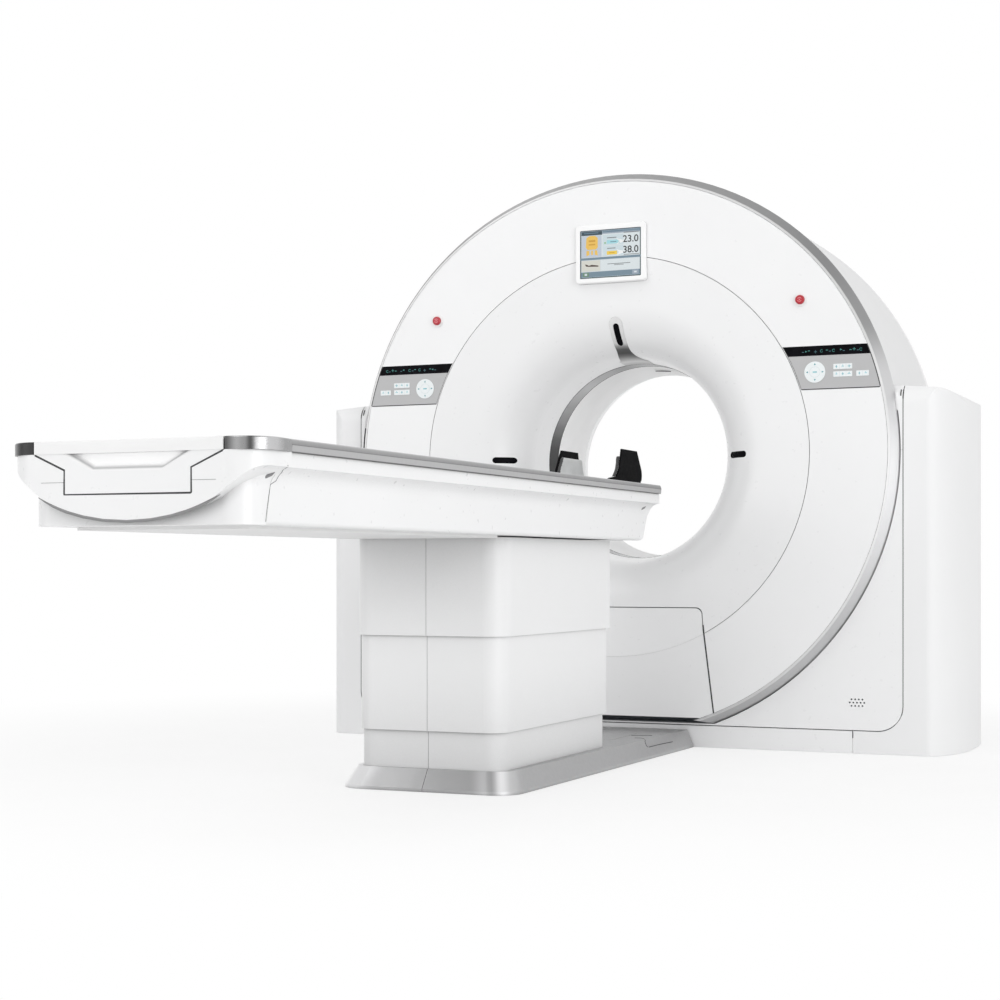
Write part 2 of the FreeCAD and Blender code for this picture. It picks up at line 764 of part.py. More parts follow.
# Its top rolls back, in line with the rounded tops of the side covers
roll_low = surround_top - side_round
cut_side(surround, [
    (surround_step - 5, roll_low), (surround_step, roll_low, -side_round),
    (surround_step + side_round, surround_top), (surround_step + side_round, surround_top + 30),
    (surround_step - 5, surround_top + 30),
])
# The short seams at the height of the bore axis, where the plate's two halves meet
for side in (-1, 1):
    cut_front(
        surround, rectangle(side * 987 - 8, -0.75, side * 987 + 8, 0.75), surround_step, 1.5,
        False,
    )
keep(surround)

# Side covers: columns with long elliptical corners, that wrap under the lower front plate


def side_form(name, inset, floor, inner):
    """The right side cover as a block, smaller by an inset: long elliptical corners in plan, and
    a top that slopes outwards to a rounded edge."""
    half, near, far = side_half - inset, surround_step + inset, side_depth - inset
    across, along, rear = corner_across - inset, corner_along - inset, corner_rear - inset
    body = new_body(name)
    sketch = plan_sketch(body, floor)
    x, y0, y1 = (half - across).number, near.number, far.number
    a, b0, b1 = across.number, along.number, rear.number
    corners = [Vector(inner, y0), Vector(x, y0), Vector(half.number, y0 + b0),
               Vector(half.number, y1 - b1), Vector(x, y1), Vector(inner, y1)]
    rounds = {
        1: Part.Ellipse(Vector(x, y0 + b0, 0), b0, a),
        3: Part.Ellipse(Vector(x, y1 - b1, 0), b1, a),
    }
    for i, start in enumerate(corners):
        end = corners[(i + 1) % len(corners)]
        if i in rounds:
            quarter = rounds[i]
            quarter.AngleXU = math.pi / 2
            first, last = quarter.parameter(start), quarter.parameter(end)
            sketch.addGeometry(Part.ArcOfEllipse(quarter, first, last))
        else:
            sketch.addGeometry(Part.LineSegment(start, end))
    pad(body, sketch, 1400)
    top, outer_top, r = surround_top - inset, side_outer_top - inset, side_round - inset
    cut_front(body, [
        (half + 10, outer_top - r), (half + 10, 500), (inner - 10, 500), (inner - 10, top),
        (905, top), (half - r, outer_top, -r), (half, outer_top - r),
    ])
    cut_side(body, [
        (near - 5, top - r), (near, top - r, -r), (near + r, top), (near + r, 500), (near - 5, 500),
    ])
    cut_side(body, [
        (far + 5, top - r), (far + 5, 500), (far - r, 500), (far - r, top, -r), (far, top - r),
    ])
    return body


def side_cover(name):
    outside = side_form(f"{name}_outside", dim(0), floor_gap, (skirt_half + 1).number)
    cut_front(
        outside, rectangle(0, surround_low - seam, 904, 400),
    )
    inside = side_form(f"{name}_inside", wall, -10, 650)
    shell = boolean("Cut", f"{name}_shell", outside, inside)
    clearing = new_body(f"{name}_clearing")
    low, half, r = surround_low - seam, surround_half + seam, surround_corner + seam
    pad_back(clearing, [(600, low), (half - r, low, r), (half, low + r), (half, 400), (600, 400)],
             0, 80)
    open_shell = boolean("Cut", f"{name}_open", shell, clearing)
    drum_space = doc.addObject("Part::Cylinder", f"{name}_drum_space")
    bind(drum_space, "Radius", drum_radius + 1)
    drum_space.Height = 1200
    place(drum_space, 0, front - 100, axis_height, Rotation(Vector(1, 0, 0), -90))
    right = boolean("Cut", f"{name}_right", open_shell, drum_space)
    rear_space = new_body(f"{name}_rear_space")
    pad_back(
        rear_space, rectangle(600, -axis_height, surround_half + 1, surround_top + 1),
        side_depth - 60, 200,
    )
    cut = boolean("Cut", name, right, rear_space)
    return keep(cut)


mirrored(side_cover("gantry_side_cover_right"), "gantry_side_cover_left")

skirt = new_body("skirt_centre")
pad_back(
    skirt,
    rectangle(
        seam - skirt_half, floor_gap - axis_height, skirt_half - seam, skirt_top - axis_height
    ),
    surround_step, 30,
)
cut_front(
    skirt,
    rectangle(-900, -axis_height, 900, skirt_top - axis_height - wall),
    surround_step + wall, 100, False,
)
keep(skirt)


# ---------------------------------------------------------------- display, panels and stops
bezel = new_body("display_bezel")
pad_back(bezel, rounded(-display_half, display_low, display_half, display_high, 11), -12, 37)
fillet(bezel, lambda e: abs(e.CenterOfMass.y - (front - 12).number) < 0.5, 4)
cut_front(
    bezel, rounded(-display_half + 17, display_low + 16, display_half - 17, display_high - 19, 3),
    -12, 5, False,
)
keep(bezel)
screen = new_body("display_screen")
pad_back(
    screen, rounded(-display_half + 17.5, display_low + 16.5, display_half - 17.5,
                    display_high - 19.5, 3),
    -10, 3,
)
keep(screen)

# Membrane panels: one sheet that fills the recess, with keys that stand a little proud


def key_cells(side):
    """The keys of one panel as low corners: a row of three above a row of three and two."""
    pitch = key_width + 1.5
    rows = [(0, 269), (1, 269), (2, 269), (0, 244), (1, 244), (2, 244), (3.6, 244), (4.6, 244)]
    for column, low in rows:
        left = key_column + pitch * column
        yield (left if side > 0 else -left - key_width), low


for side, hand in ((1, "right"), (-1, "left")):
    panel = new_body(f"control_panel_{hand}")
    pad_back(panel, panel_outline(side, panel_low, panel_split), 0, panel_recess)
    disc = front_sketch(panel, panel_recess - 0.5)
    circle(disc, side * pad_disc_x, pad_disc_z, pad_disc_radius)
    pad(panel, disc, key_rise + panel_recess - 0.5)
    for left, low in key_cells(side):
        key = front_sketch(panel, panel_recess - 0.5)
        outline(key, rectangle(left, low, left + key_width, low + key_height))
        pad(panel, key, key_rise + panel_recess - 0.5)
    keep(panel)
    strip = new_body(f"status_display_{hand}")
    pad_back(strip, panel_outline(side, panel_split + 0.5, panel_high), 0, panel_recess)
    keep(strip)

# Emergency stops: a white collar on the face, and a red button that travels into it
for side, hand in ((1, "right"), (-1, "left")):
    collar = new_body(f"estop_collar_{hand}")
    for first, last, radius in ((-4, 0, stop_collar), (-4, 34, stop_neck - 0.5)):
        ring = front_sketch(collar, first)
        circle(ring, side * stop_x, stop_z, radius)
        pad(collar, ring, last - first, backwards=True)
    for first, last, radius in ((-4, 5, stop_button + 0.5), (-4, 30, stop_stem + running_gap)):
        bore = front_sketch(collar, first)
        circle(bore, side * stop_x, stop_z, radius)
        pocket(collar, bore, last - first, False)
    keep(collar)
    button = new_body(f"estop_button_{hand}")
    for first, last, radius in ((-12, -3, stop_button), (-5, 24, stop_stem)):
        ring = front_sketch(button, first)
        circle(ring, side * stop_x, stop_z, radius)
        pad(button, ring, last - first, backwards=True)
    fillet(
        button, lambda e: abs(e.CenterOfMass.y - (front - 12).number) < 0.5, 2.5,
        "PartDesign::Chamfer",
    )
    keep(button)

# Laser windows, just behind the funnel's face: one in the tongue and one on each side
window_shell = revolution(new_body("window_shell"), funnel_section(dim(1.5), wall, dim(520)))
window_prism = new_body("window_prism")
pad_back(window_prism, slot(0, slot_radius, slot_half, slot_half_width), -50, 500)
for side in (-1, 1):
    pad_back(
        window_prism, slot(side * slot_radius, 0, slot_half, slot_half_width, upright=False),
        -50, 500,
    )
keep(boolean("Common", "laser_windows", window_shell, window_prism))

# ---------------------------------------------------------------- gantry frame and rotor

frame = new_body("gantry_frame")
seat_top, seat_low = leg(yoke_radius, 80), leg(yoke_radius, 870)
pad_back(
    frame,
    [
        (-frame_half, -970), (frame_half, -970), (frame_half, 80), (seat_top, 80, -yoke_radius),
        (seat_low, -870), (-seat_low, -870, -yoke_radius), (-seat_top, 80), (-frame_half, 80),
    ],
    yoke_front, yoke_depth,
)
for side in (-1, 1):
    x = side * rail_x
    pad_up(frame, rectangle(x - 50, 80, x + 50, 750), 20, 90)
    for near, far in ((80, 200), (630, 750)):
        pad_up(frame, rectangle(x - 90, near, x + 90, far), 6, 14)
        plate_holes = plan_sketch(frame, 0)
        for x_hole in (x - 70, x + 70):
            circle(plate_holes, x_hole, (near + far) / 2, 8)
        pocket(frame, plate_holes, 60)
        foot = plan_sketch(frame, 0)
        circle(foot, x, (near + far) / 2, foot_radius)
        pad(frame, foot, 6)
pad_up(frame, rectangle(-rail_x, 80, rail_x, 140), 24, 60)
keep(frame)

stator = revolution(
    new_body("stator_ring"),
    [
        (yoke_front, stator_radius), (yoke_front, stator_radius + 30),
        (stator_front, stator_radius + 30), (stator_front, yoke_radius),
        (stator_front + 30, yoke_radius), (stator_front + 30, stator_radius),
    ],
)
windows = front_sketch(stator)
for step in range(8):
    turn = math.radians(22.5 + 45 * step)
    circle(windows, math.cos(turn) * 770, math.sin(turn) * 770, 120)
pocket(stator, windows)
cut_front(stator, rectangle(-600, -1000, 600, -870))
keep(stator)
keep(revolution(
    new_body("main_bearing_outer_race"),
    rectangle(yoke_front, race_radius + running_gap, stator_front, stator_radius),
))
keep(revolution(
    new_body("main_bearing_inner_race"), rectangle(yoke_front, hub_radius, stator_front, race_radius)
))

rotor = revolution(
    new_body("rotor_drum"),
    [
        (560, rotor_bore), (560, rim_radius + 6), (belt_front - 1, rim_radius + 6),
        (belt_front - 1, rim_radius), (belt_front + belt_width + 1, rim_radius),
        (belt_front + belt_width + 1, rim_radius + 6), (596, rim_radius + 6), (596, 860), (586, 855),
        (586, 470), (595, hub_radius), (645, hub_radius), (645, rotor_bore),
    ],
)
rotor_windows = front_sketch(rotor)
for degrees in (35, 145, 200, 340):
    turn = math.radians(degrees)
    circle(rotor_windows, math.cos(turn) * 660, math.sin(turn) * 660, 95)
pocket(rotor, rotor_windows)
keep(rotor)

slip_section = [(645, rotor_bore + 10), (645, hub_radius)]
for groove in range(4):
    near = 652 + groove * 16
    slip_section += [(near, hub_radius), (near, 424), (near + 9, 424), (near + 9, hub_radius)]
slip_section += [(715, hub_radius), (715, rotor_bore + 10)]
keep(revolution(new_body("slip_ring"), slip_section))

tube = new_body("xray_tube")
for near, depth, radius in ((380, 180, 112), (350, 30, 92)):
    housing = front_sketch(tube, near)
    circle(housing, 0, focus_radius + 30, radius)
    pad(tube, housing, depth, backwards=True)
fillet(
    tube, lambda e: abs(e.CenterOfMass.y - (front + 350).number) < 1, 14, "PartDesign::Chamfer"
)
keep(tube)
collimator = new_body("collimator")
pad_back(
    collimator, [(-110, 400), (110, 400), (70, 487), (-70, 487)], 400, 160,
)
cut_plan(collimator, rectangle(-80, 450, 80, 470), 1000)
keep(collimator)

supply = new_body("high_voltage_generator")
pad_back(supply, rounded(-790, -160, -520, 160, 14), 390, 170)
for step in range(5):
    fin_low = step * 56 - 132
    cut_front(supply, rectangle(-775, fin_low, -540, fin_low + 30), 390, 12, False)
keep(supply)
detector = new_body("detector_arc")
for near, depth, inside, outside, half_angle in ((410, 120, 0, 90, 27), (530, 30, 20, 75, 24)):
    low, high = detector_radius + inside, detector_radius + outside
    across, down = math.sin(math.radians(half_angle)), math.cos(math.radians(half_angle))
    pad_back(
        detector,
        [
            (low * across * -1, focus_radius - low * down, low),
            (low * across, focus_radius - low * down),
            (high * across, focus_radius - high * down, -high),
            (high * across * -1, focus_radius - high * down),
        ],
        near, depth,
    )
keep(detector)

# The drive: a motor at the right foot of the yoke, and a flat belt round the rotor's rim
reach = math.hypot(motor_x.number, motor_z.number)
swing = math.acos((rim_radius.number - pulley_radius.number) / reach)
heading = math.atan2(motor_z.number, motor_x.number)


def belt_loop(offset):
    """The belt's path from the front, at an offset from the rim and the pulley."""
    big, small = rim_radius + offset, pulley_radius + offset
    points = []
    for angle in (heading - swing, heading + swing):
        across, up = math.cos(angle), math.sin(angle)
        points.append((
            (big * across, big * up), (motor_x + small * across, motor_z + small * up)
        ))
    (big_low, small_low), (big_high, small_high) = points
    mid = heading + math.pi
    return [
        big_low, (*small_low, small), (*small_high,),
        (*big_high, big), (big * math.cos(mid), big * math.sin(mid), big),
    ]


belt = new_body("drive_belt")
pad_back(belt, belt_loop(0.3 + belt_thick), belt_front, belt_width)
cut_front(belt, belt_loop(0.3))
keep(belt)

motor = new_body("drive_motor")
barrel = front_sketch(motor, 330)
circle(barrel, motor_x, motor_z, motor_radius)
pad(motor, barrel, 210, backwards=True)
pad_back(motor, rectangle(motor_x - 50, motor_z - 160, motor_x + 50, motor_z - 40), 380, 160)
pad_back(motor, rectangle(motor_x - 40, motor_z - 160, motor_x + 60, motor_z - 100), 530, 70)
shaft_hole = front_sketch(motor, 540)
circle(shaft_hole, motor_x, motor_z, 20 + running_gap)
pocket(motor, shaft_hole, 40, True)
keep(motor)
pulley = new_body("motor_pulley")
for near, depth, radius in ((505, 90, 20), (557, 5, 68), (560, 34, pulley_radius), (594, 3, 68)):
    disc = front_sketch(pulley, near)
    circle(disc, motor_x, motor_z, radius)
    pad(pulley, disc, depth, backwards=True)
keep(pulley)

# ---------------------------------------------------------------- table column and base

base_plate = new_body("table_base_plate")
pad_up(base_plate, rectangle(-plate_half, -1480, plate_half, 30), 0, plate_thick)
anchors = plan_sketch(base_plate)
for x in (-190, 190):
    for y in (-1380, -60):
        circle(anchors, x, y, 8)
pocket(base_plate, anchors)
keep(base_plate)


def base_outline(inset, bevel, narrower):
    """The right half of the silver base seen from above, at its foot or at its deck."""
    near, corner = base_front + bevel + inset, base_corner - inset - narrower / 2
    half, rear_half = base_half - narrower - inset, base_rear_half - narrower * 0.75 - inset
    middle = 0.6 + inset * 0
    return [
        (middle, near), (half - corner, near, corner), (half, near + corner),
        (rear_half, base_rear), (middle, base_rear),
    ]


def loft(body, kind, profiles):
    """Joins plan outlines, given as (height, stations), into one bevelled form."""
    sketches = []
    for z, stations in profiles:
        sketch = plan_sketch(body, z)
        outline(sketch, stations)
        sketches.append(sketch)
    feature = body.newObject(f"PartDesign::{kind}", f"{body.Name}_loft")
    feature.Profile = sketches[0]
    feature.Sections = sketches[1:]
    feature.Ruled = True
    doc.recompute()
    return feature


base_cover = new_body("base_cover_right")
loft(base_cover, "AdditiveLoft", [
    (1, base_outline(0, 0, 0)), (10, base_outline(0, 0, 0)),
])
loft(base_cover, "AdditiveLoft", [
    (10, base_outline(0, 0, 0)), (deck_height, base_outline(0, base_bevel, 28)),
])
loft(base_cover, "SubtractiveLoft", [
    (0, base_outline(wall, 0, 0)), (deck_height - wall, base_outline(wall, base_bevel, 28)),
])
cut_plan(
    base_cover,
    [(-10, column_front + 26), (170, column_front + 26), (196, column_front + 60),
     (196, column_rear - 55), (-10, column_rear - 55)],
)
# The access hatch between the column and the gantry
hatch = plan_sketch(base_cover, deck_height)
outline(hatch, rounded(-160, -470, 160, -170, 40))
outline(hatch, rounded(-158, -468, 158, -172, 38))
pocket(base_cover, hatch, 1.5, False)
keep(base_cover)
mirrored(base_cover, "base_cover_left")


def column_outline(step, inset):
    """A column cover from above: rounded towards the foot end, with tight corners behind."""
    half = column_half - column_step * step - inset
    near = column_front + column_front_step * step + inset
    far = column_rear - column_rear_step * step - inset
    r, tight = column_corner - column_step * step - inset, column_rear_corner - inset
    return [
        (r - half, near), (half - r, near, r), (half, near + r), (half, far - tight, tight),
        (half - tight, far), (tight - half, far, tight), (-half, far - tight), (-half, near + r, r),
    ]


def column_cover(name, step, low, high):
    """One rounded box of the telescopic column, open at both ends, grooved down its front."""
    body = new_body(name)
    low, high = dim(low), dim(high)
    pad_up(body, column_outline(step, 0), low, high - low)
    cut_plan(body, column_outline(step, 4))
    near = column_front + column_front_step * step
    cut_plan(body, rectangle(-0.75, near - 10, 0.75, near + 1.4))
    return keep(body)


column_cover("lower_column_cover", 2, deck_height, 210)
column_cover("middle_column_cover", 1, axis_height + middle_seam, 496)
column_cover("upper_column_cover", 0, axis_height + upper_seam, 697)


def lift_tube(name, step, low, high):
    """One square tube of the lift inside the column."""
    half, length = tube_half - tube_step * step, tube_length - tube_step * step
    body = new_body(name)
    pad_up(
        body, rounded(-half, tube_middle - length, half, tube_middle + length, 14), low,
        dim(high) - low,
    )
    inner = tube_wall
    cut_plan(
        body,
        rounded(
            inner - half, tube_middle - length + inner, half - inner,
            tube_middle + length - inner, 8,
        ),
    )
    return body


keep(lift_tube("lift_tube_outer", 0, plate_thick, 302))
keep(lift_tube("lift_tube_middle", 1, 242, 492))
inner_tube = lift_tube("lift_tube_inner", 2, 430, 758)
pad_up(inner_tube, rounded(-150, tube_middle - 190, 150, tube_middle + 190, 20), 758, 5)
keep(inner_tube)

# ---------------------------------------------------------------- table body
band_top = rail_top - rail_depth


def channel_section(grow):
    """Half of the T-shaped channel from the top of its wall to its floor, right side."""
    return [
        (cradle_half + 3.5 + grow, deck_top - 4.5), (cradle_half + 3.5 + grow, band_top - grow),
        (channel_half + channel_gap + grow, -183.5 - grow),
        (channel_half + channel_gap + grow, channel_floor - 1 - grow),
    ]


def both_sides(half_section):
    """Closes a right-hand run of corners with its mirror image."""
    return half_section + [(-x, z) for x, z in reversed(half_section)]


side = new_body("table_side_cover_right")
arc_in = undercut + table_wall
pad_back(
    side,
    [
        (deck_inner, deck_top), (rail_inner + 2, deck_top), (rail_inner + 2, band_top - 0.5),
        (upper_half, band_top - 0.5), (upper_half, band_low, undercut),
        (lower_half, band_low - undercut), (lower_half, body_bottom + 10, -10),
        (lower_half - 10, body_bottom), (245, body_bottom), (245, body_bottom + 4),
        (lower_half - 10, body_bottom + 4, 6), (lower_half - 4, body_bottom + 10),
        (lower_half - 4, band_low - undercut, -arc_in),
        (upper_half - 4, leg(arc_in, 4) + band_low - undercut), (upper_half - 4, band_top - 4.5),
        (rail_inner - 2, band_top - 4.5), (rail_inner - 2, deck_top - 4),
        (deck_inner, deck_top - 4),
    ],
    foot_end + 80, 2530,
)
cut_side(
    side,
    [
        (-3000, -100), (rail_start, -100), (rail_start, band_low), (rail_start - 18, -213),
        (rail_start - 39, -310), (-3000, -310),
    ],
)
head_line = [
    (rail_finish + 4, band_low), (-405, -205), (-428, -222), (-463, -284, -30),
    (-489, body_bottom),
]
cut_side(side, [(rail_finish + 4, -100), *head_line, (-489, -320), (-300, -320), (-300, -100)])
keep(side)
mirrored(side, "table_side_cover_left")

# The foot cover: a bulge with a curved lip, over a hollow that goes round the lower body
def foot_plan(half, near, corner):
    """A foot end from above, with round corners."""
    return [
        (-half, near + corner, corner), (corner - half, near), (half - corner, near, corner),
        (half, near + corner), (half, -2800), (-half, -2800),
    ]


def lip_line(inset):
    """The right half of the bulge's lip from the front: a long sweep that swings up sideways."""
    lip, drop = bulge_radius - inset, bulge_drop + inset
    return [
        (sweep_half, drop + lip - leg(lip, sweep_half)),
        (swing_half - inset * 0.6, swing_start + inset * 0.8, -swing_radius),
        (swing_end - inset, band_low - 0.5 + inset), (bulge_half - inset, band_low - 0.5 + inset),
    ]


def foot_form(name, inset):
    bulge_plan = new_body(f"{name}_bulge_plan")
    pad_up(
        bulge_plan, foot_plan(bulge_half - inset, foot_face + inset, bulge_corner - inset),
        axis_height - 330, 181 - inset,
    )
    bulge_face = new_body(f"{name}_bulge_face")
    sweep, swing, end, edge = lip_line(inset)
    lip = bulge_radius - inset
    pad_back(
        bulge_face,
        [
            (-sweep[0], sweep[1], lip), (0, bulge_drop + inset, lip), sweep, swing, end, edge,
            (edge[0], -100), (-edge[0], -100), (-edge[0], edge[1]), (-end[0], end[1], -swing_radius),
            (-swing[0], swing[1]),
        ],
        -3100, 300,
    )
    bulge = boolean("Common", f"{name}_bulge", bulge_plan, bulge_face)
    lower = new_body(f"{name}_lower")
    pad_up(
        lower, foot_plan(lower_half - inset, foot_face + 30 + inset, 60 - inset),
        axis_height + body_bottom + inset, 140,
    )
    hollow_low, turn_y = band_low - undercut, foot_face + turn_back
    inner, outer = lower_half - inset, upper_half - inset
    hollow_top = hollow_low + leg(undercut + inset, inset)
    cove = new_body(f"{name}_cove")
    pad_back(
        cove,
        [
            (outer, hollow_top, undercut + inset), (inner, hollow_low),
            (-inner, hollow_low, undercut + inset), (-outer, hollow_top),
        ],
        turn_y, rail_start - turn_y,
    )
    form = boolean("Fuse", f"{name}_sum", bulge, lower)
    form = boolean("Fuse", f"{name}_flanks", form, cove)
    for side in (-1, 1):
        disc = doc.addObject("Part::Cylinder", f"{name}_turn_{side + 1}")
        bind(disc, "Radius", turn_radius - inset)
        bind(disc, "Height", undercut + 1)
        place(disc, side * turn_half, front + turn_y, axis_height + hollow_low)
        hollow = doc.addObject("Part::Torus", f"{name}_hollow_{side + 1}")
        bind(hollow, "Radius1", turn_radius)
        bind(hollow, "Radius2", undercut + inset)
        place(hollow, side * turn_half, front + turn_y, axis_height + hollow_low)
        corner = boolean("Cut", f"{name}_corner_{side + 1}", disc, hollow)
        form = boolean("Fuse", f"{name}_with_{side + 1}", form, corner)
    deck = new_body(f"{name}_deck")
    pad_up(
        deck, foot_plan(rail_inner - inset, foot_face + 20 + inset, bulge_corner - 21 - inset),
        axis_height + band_top - 10, deck_top - band_top + 10 - inset,
    )
    return boolean("Fuse", name, form, deck)


foot_shell = boolean(
    "Cut", "foot_shell", foot_form("foot_outside", dim(0)), foot_form("foot_inside", table_wall)
)
foot_gap = new_body("foot_channel")
for grow, near in ((0, -3050), (3, foot_face + table_wall)):
    run = channel_section(grow)
    pad_back(foot_gap, both_sides([(run[0][0], -60), *run[1:]]), near, 300)
foot_open = boolean("Cut", "foot_open", foot_shell, foot_gap)
foot_end_cut = new_body("foot_end_cut")
pad_across(
    foot_end_cut,
    [
        (rail_start - 0.8, -60), (rail_start - 0.8, band_low), (rail_start - 19, -213),
        (rail_start - 40, -310), (rail_start - 40, -340), (-2700, -340), (-2700, -60),
    ],
    400,
)
keep(boolean("Cut", "foot_cover", foot_open, foot_end_cut))

liner_body = new_body("cradle_channel")
pad_back(liner_body, both_sides(channel_section(2.5)), foot_face + 20, 2380)
cut_front(
    liner_body, both_sides([(cradle_half + 3.5, -60), *channel_section(0)[1:]]), -3100, 4000, False
)
keep(liner_body)

# The head end between the side covers
head_wall = new_body("head_wall")
outer_line = [(-404, band_top - 5), (-404, -181), (-407, -206), (-430, -223), (-465, -284),
              (-474, -292), (-490, -296.5), (-510, -297)]
inner_line = [(-510, -293), (-491, -292.5), (-477, -288.5), (-469, -282), (-434, -220.5),
              (-411, -203), (-408, -180), (-408, band_top - 5)]
pad_across(head_wall, outer_line + inner_line, 300)
head_room = new_body("head_room")
room = [
    (upper_half - 4.5, band_top - 5), (upper_half - 4.5, band_low + 5.2), (285, -179.5),
    (276, -186.6), (269, -197), (lower_half - 5.7, band_low - undercut),
    (lower_half - 5.7, body_bottom + 11), (lower_half - 10.5, body_bottom + 5),
]
pad_back(head_room, both_sides(room), -700, 400)
keep(boolean("Common", "head_cover", head_wall, head_room))

chassis = new_body("table_chassis")
for side in (-1, 1):
    pad_up(
        chassis, rectangle(side * 244 - 18, -2800, side * 244 + 18, -600), 706, 57
    )
for near, far in ((-2800, -2740), (-2200, -2150), (-1560, -1520), (-630, -590)):
    pad_up(chassis, rectangle(-244, near, 244, far), 706, 57)
    cut_front(
        chassis, rectangle(-200, -290, 200, -250), near - 2, far - near + 4, False
    )
keep(chassis)

pan = new_body("under_cover")
pan_low = axis_height + body_bottom
pad_up(pan, rectangle(-244.5, -2884, 244.5, -512), pan_low, 4)
pad_up(pan, rounded(-221, -2860, 221, column_front - 4, 20), pan_low - 7, 7)
cut_plan(pan, rounded(-217, -2856, 217, column_front - 8, 16), pan_low - 3, 40, True)
cut_plan(pan, column_outline(0, -2))
keep(pan)

# Rails along the deck and the round corners at the foot end
rail = new_body("side_rail_right")
pad_back(
    rail,
    [
        (rail_inner + 2.5, rail_top), (table_half - 3, rail_top), (table_half, rail_top - 12),
        (table_half - 1, band_top), (rail_inner + 2.5, band_top),
    ],
    rail_start, rail_finish - rail_start,
)
fillet(
    rail,
    lambda e: abs(e.CenterOfMass.y - (front + rail_finish).number) < 0.5
    and abs(e.CenterOfMass.x - 305) < 8 and e.Length < 20 and abs(e.CenterOfMass.z - 865) > 11,
    7,
)
keep(rail)
mirrored(rail, "side_rail_left")

trim = new_body("corner_trim_right")
flare = table_half + 6
pad_up(
    trim,
    [
        (cradle_half + 3.5, foot_face), (flare - bulge_corner, foot_face, bulge_corner),
        (flare, foot_face + bulge_corner, 700), (table_half, rail_start - 1),
        (rail_inner + 2.5, rail_start - 1), (rail_inner + 2.5, foot_face + bulge_corner + 4, -56),
        (flare - bulge_corner - 4, foot_face + 19.5), (cradle_half + 3.5, foot_face + 19.5),
    ],
    axis_height + band_top, rail_depth,
)
fillet(
    trim,
    lambda e: abs(e.CenterOfMass.z - (axis_height + rail_top).number) < 0.5
    and e.CenterOfMass.x > 252 and e.CenterOfMass.y < (front + rail_start).number - 5
    and (e.CenterOfMass.x > 300 or e.CenterOfMass.y < (front + foot_face).number + 40),
    4,
)
keep(trim)
mirrored(trim, "corner_trim_left")

# ---------------------------------------------------------------- cradle
cradle = new_body("cradle_top")
pad_back(
    cradle,
    [
        (-cradle_half, band_top), (cradle_half, band_top), (cradle_half, rail_top),
        (cradle_half - 12, rail_top, -1400), (12 - cradle_half, rail_top), (-cradle_half, rail_top),
    ],
    foot_end, cradle_head - foot_end,
)
corners = plan_sketch(cradle, axis_height)
head_radius = 110
for side in (-1, 1):
    near_corner = (side * (cradle_half - head_radius), cradle_head)
    outline(corners, [
        (side * (cradle_half + 5), cradle_head + 5), (side * (cradle_half + 5), cradle_head - head_radius),
        (side * cradle_half, cradle_head - head_radius, side * head_radius),
        near_corner, (side * (cradle_half - head_radius), cradle_head + 5),
    ])
pocket(cradle, corners)
keep(cradle)

carriage = new_body("cradle_carriage")
pad_back(
    carriage,
    [
        (-channel_half, channel_floor), (channel_half, channel_floor), (channel_half, -182),
        (228, band_top), (-228, band_top), (-channel_half, -182),
    ],
    foot_end + 2, 430,
)
# A handhold scooped out under the edge of the cradle
cut_front(
    carriage, [(-155, band_top + 1), (-155, -150), (-94, -181), (-84, -186), (84, -186),
               (94, -181), (155, -150), (155, band_top + 1)],
    foot_end, 44, False,
)
fillet(
    carriage,
    lambda e: abs(e.CenterOfMass.y - (front + foot_end + 44).number) < 0.5
    and abs(e.CenterOfMass.z - (axis_height - 186).number) < 0.5,
    16,
)
keep(carriage)

wing_line = [
    (-300, -88), (-256, -82), (-205, holder_top), (-50, holder_top), (0, -84), (-18, -180),
    (-300, -180),
]


def holder_trough(name, outside, inside):
    """A trough under a head: round below, with wings that lean in a little."""
    lean = 5
    body = new_body(name)
    pad_back(
        body,
        [
            (outside - lean, holder_top), (outside, holder_low, -outside),
            (0, holder_low - outside, -outside), (-outside, holder_low),
            (lean - outside, holder_top), (lean - inside, holder_top), (-inside, holder_low, inside),
            (0, holder_low - inside, inside), (inside, holder_low), (inside - lean, holder_top),
        ],
        cradle_head, -cradle_head,
    )
    prism = new_body(f"{name}_side")
    pad_across(prism, wing_line, 200)
    return boolean("Common", f"{name}_trough", body, prism)


shell = holder_trough("holder_shell", holder_radius, holder_radius - holder_wall)
tongue_plate = new_body("holder_tongue")
pad_up(tongue_plate, rounded(-50, -380, 50, -294, 12), axis_height + band_top - 16, 16)
keep(boolean("Fuse", "head_holder_shell", shell, tongue_plate))
soft = holder_trough(
    "holder_soft", holder_radius - holder_wall, holder_radius - holder_wall - holder_pad
)
soft_space = new_body("holder_soft_space")
pad_back(soft_space, rectangle(-200, -200, 200, holder_top - 10), cradle_head + 8, 284)
keep(boolean("Common", "head_holder_pad", soft, soft_space))


def export():
    """Checks every object and writes one file for each sub-part."""
    doc.recompute()
    for thing in doc.Objects:
        assert not {"Invalid", "Error"} & set(thing.State), f"{thing.Name}: {thing.State}"
    os.makedirs("parts", exist_ok=True)
    for part in sub_parts:
        shape = part.Shape
        assert not shape.isNull() and shape.isValid() and shape.Solids, part.Label
        shape.exportStep(f"parts/{part.Label}.step")
        print(part.Label, len(shape.Solids), round(shape.Volume / 1000))


export()
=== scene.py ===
import json
import math

import bmesh
import bpy
from mathutils import Matrix, Vector
from mathutils.bvhtree import BVHTree


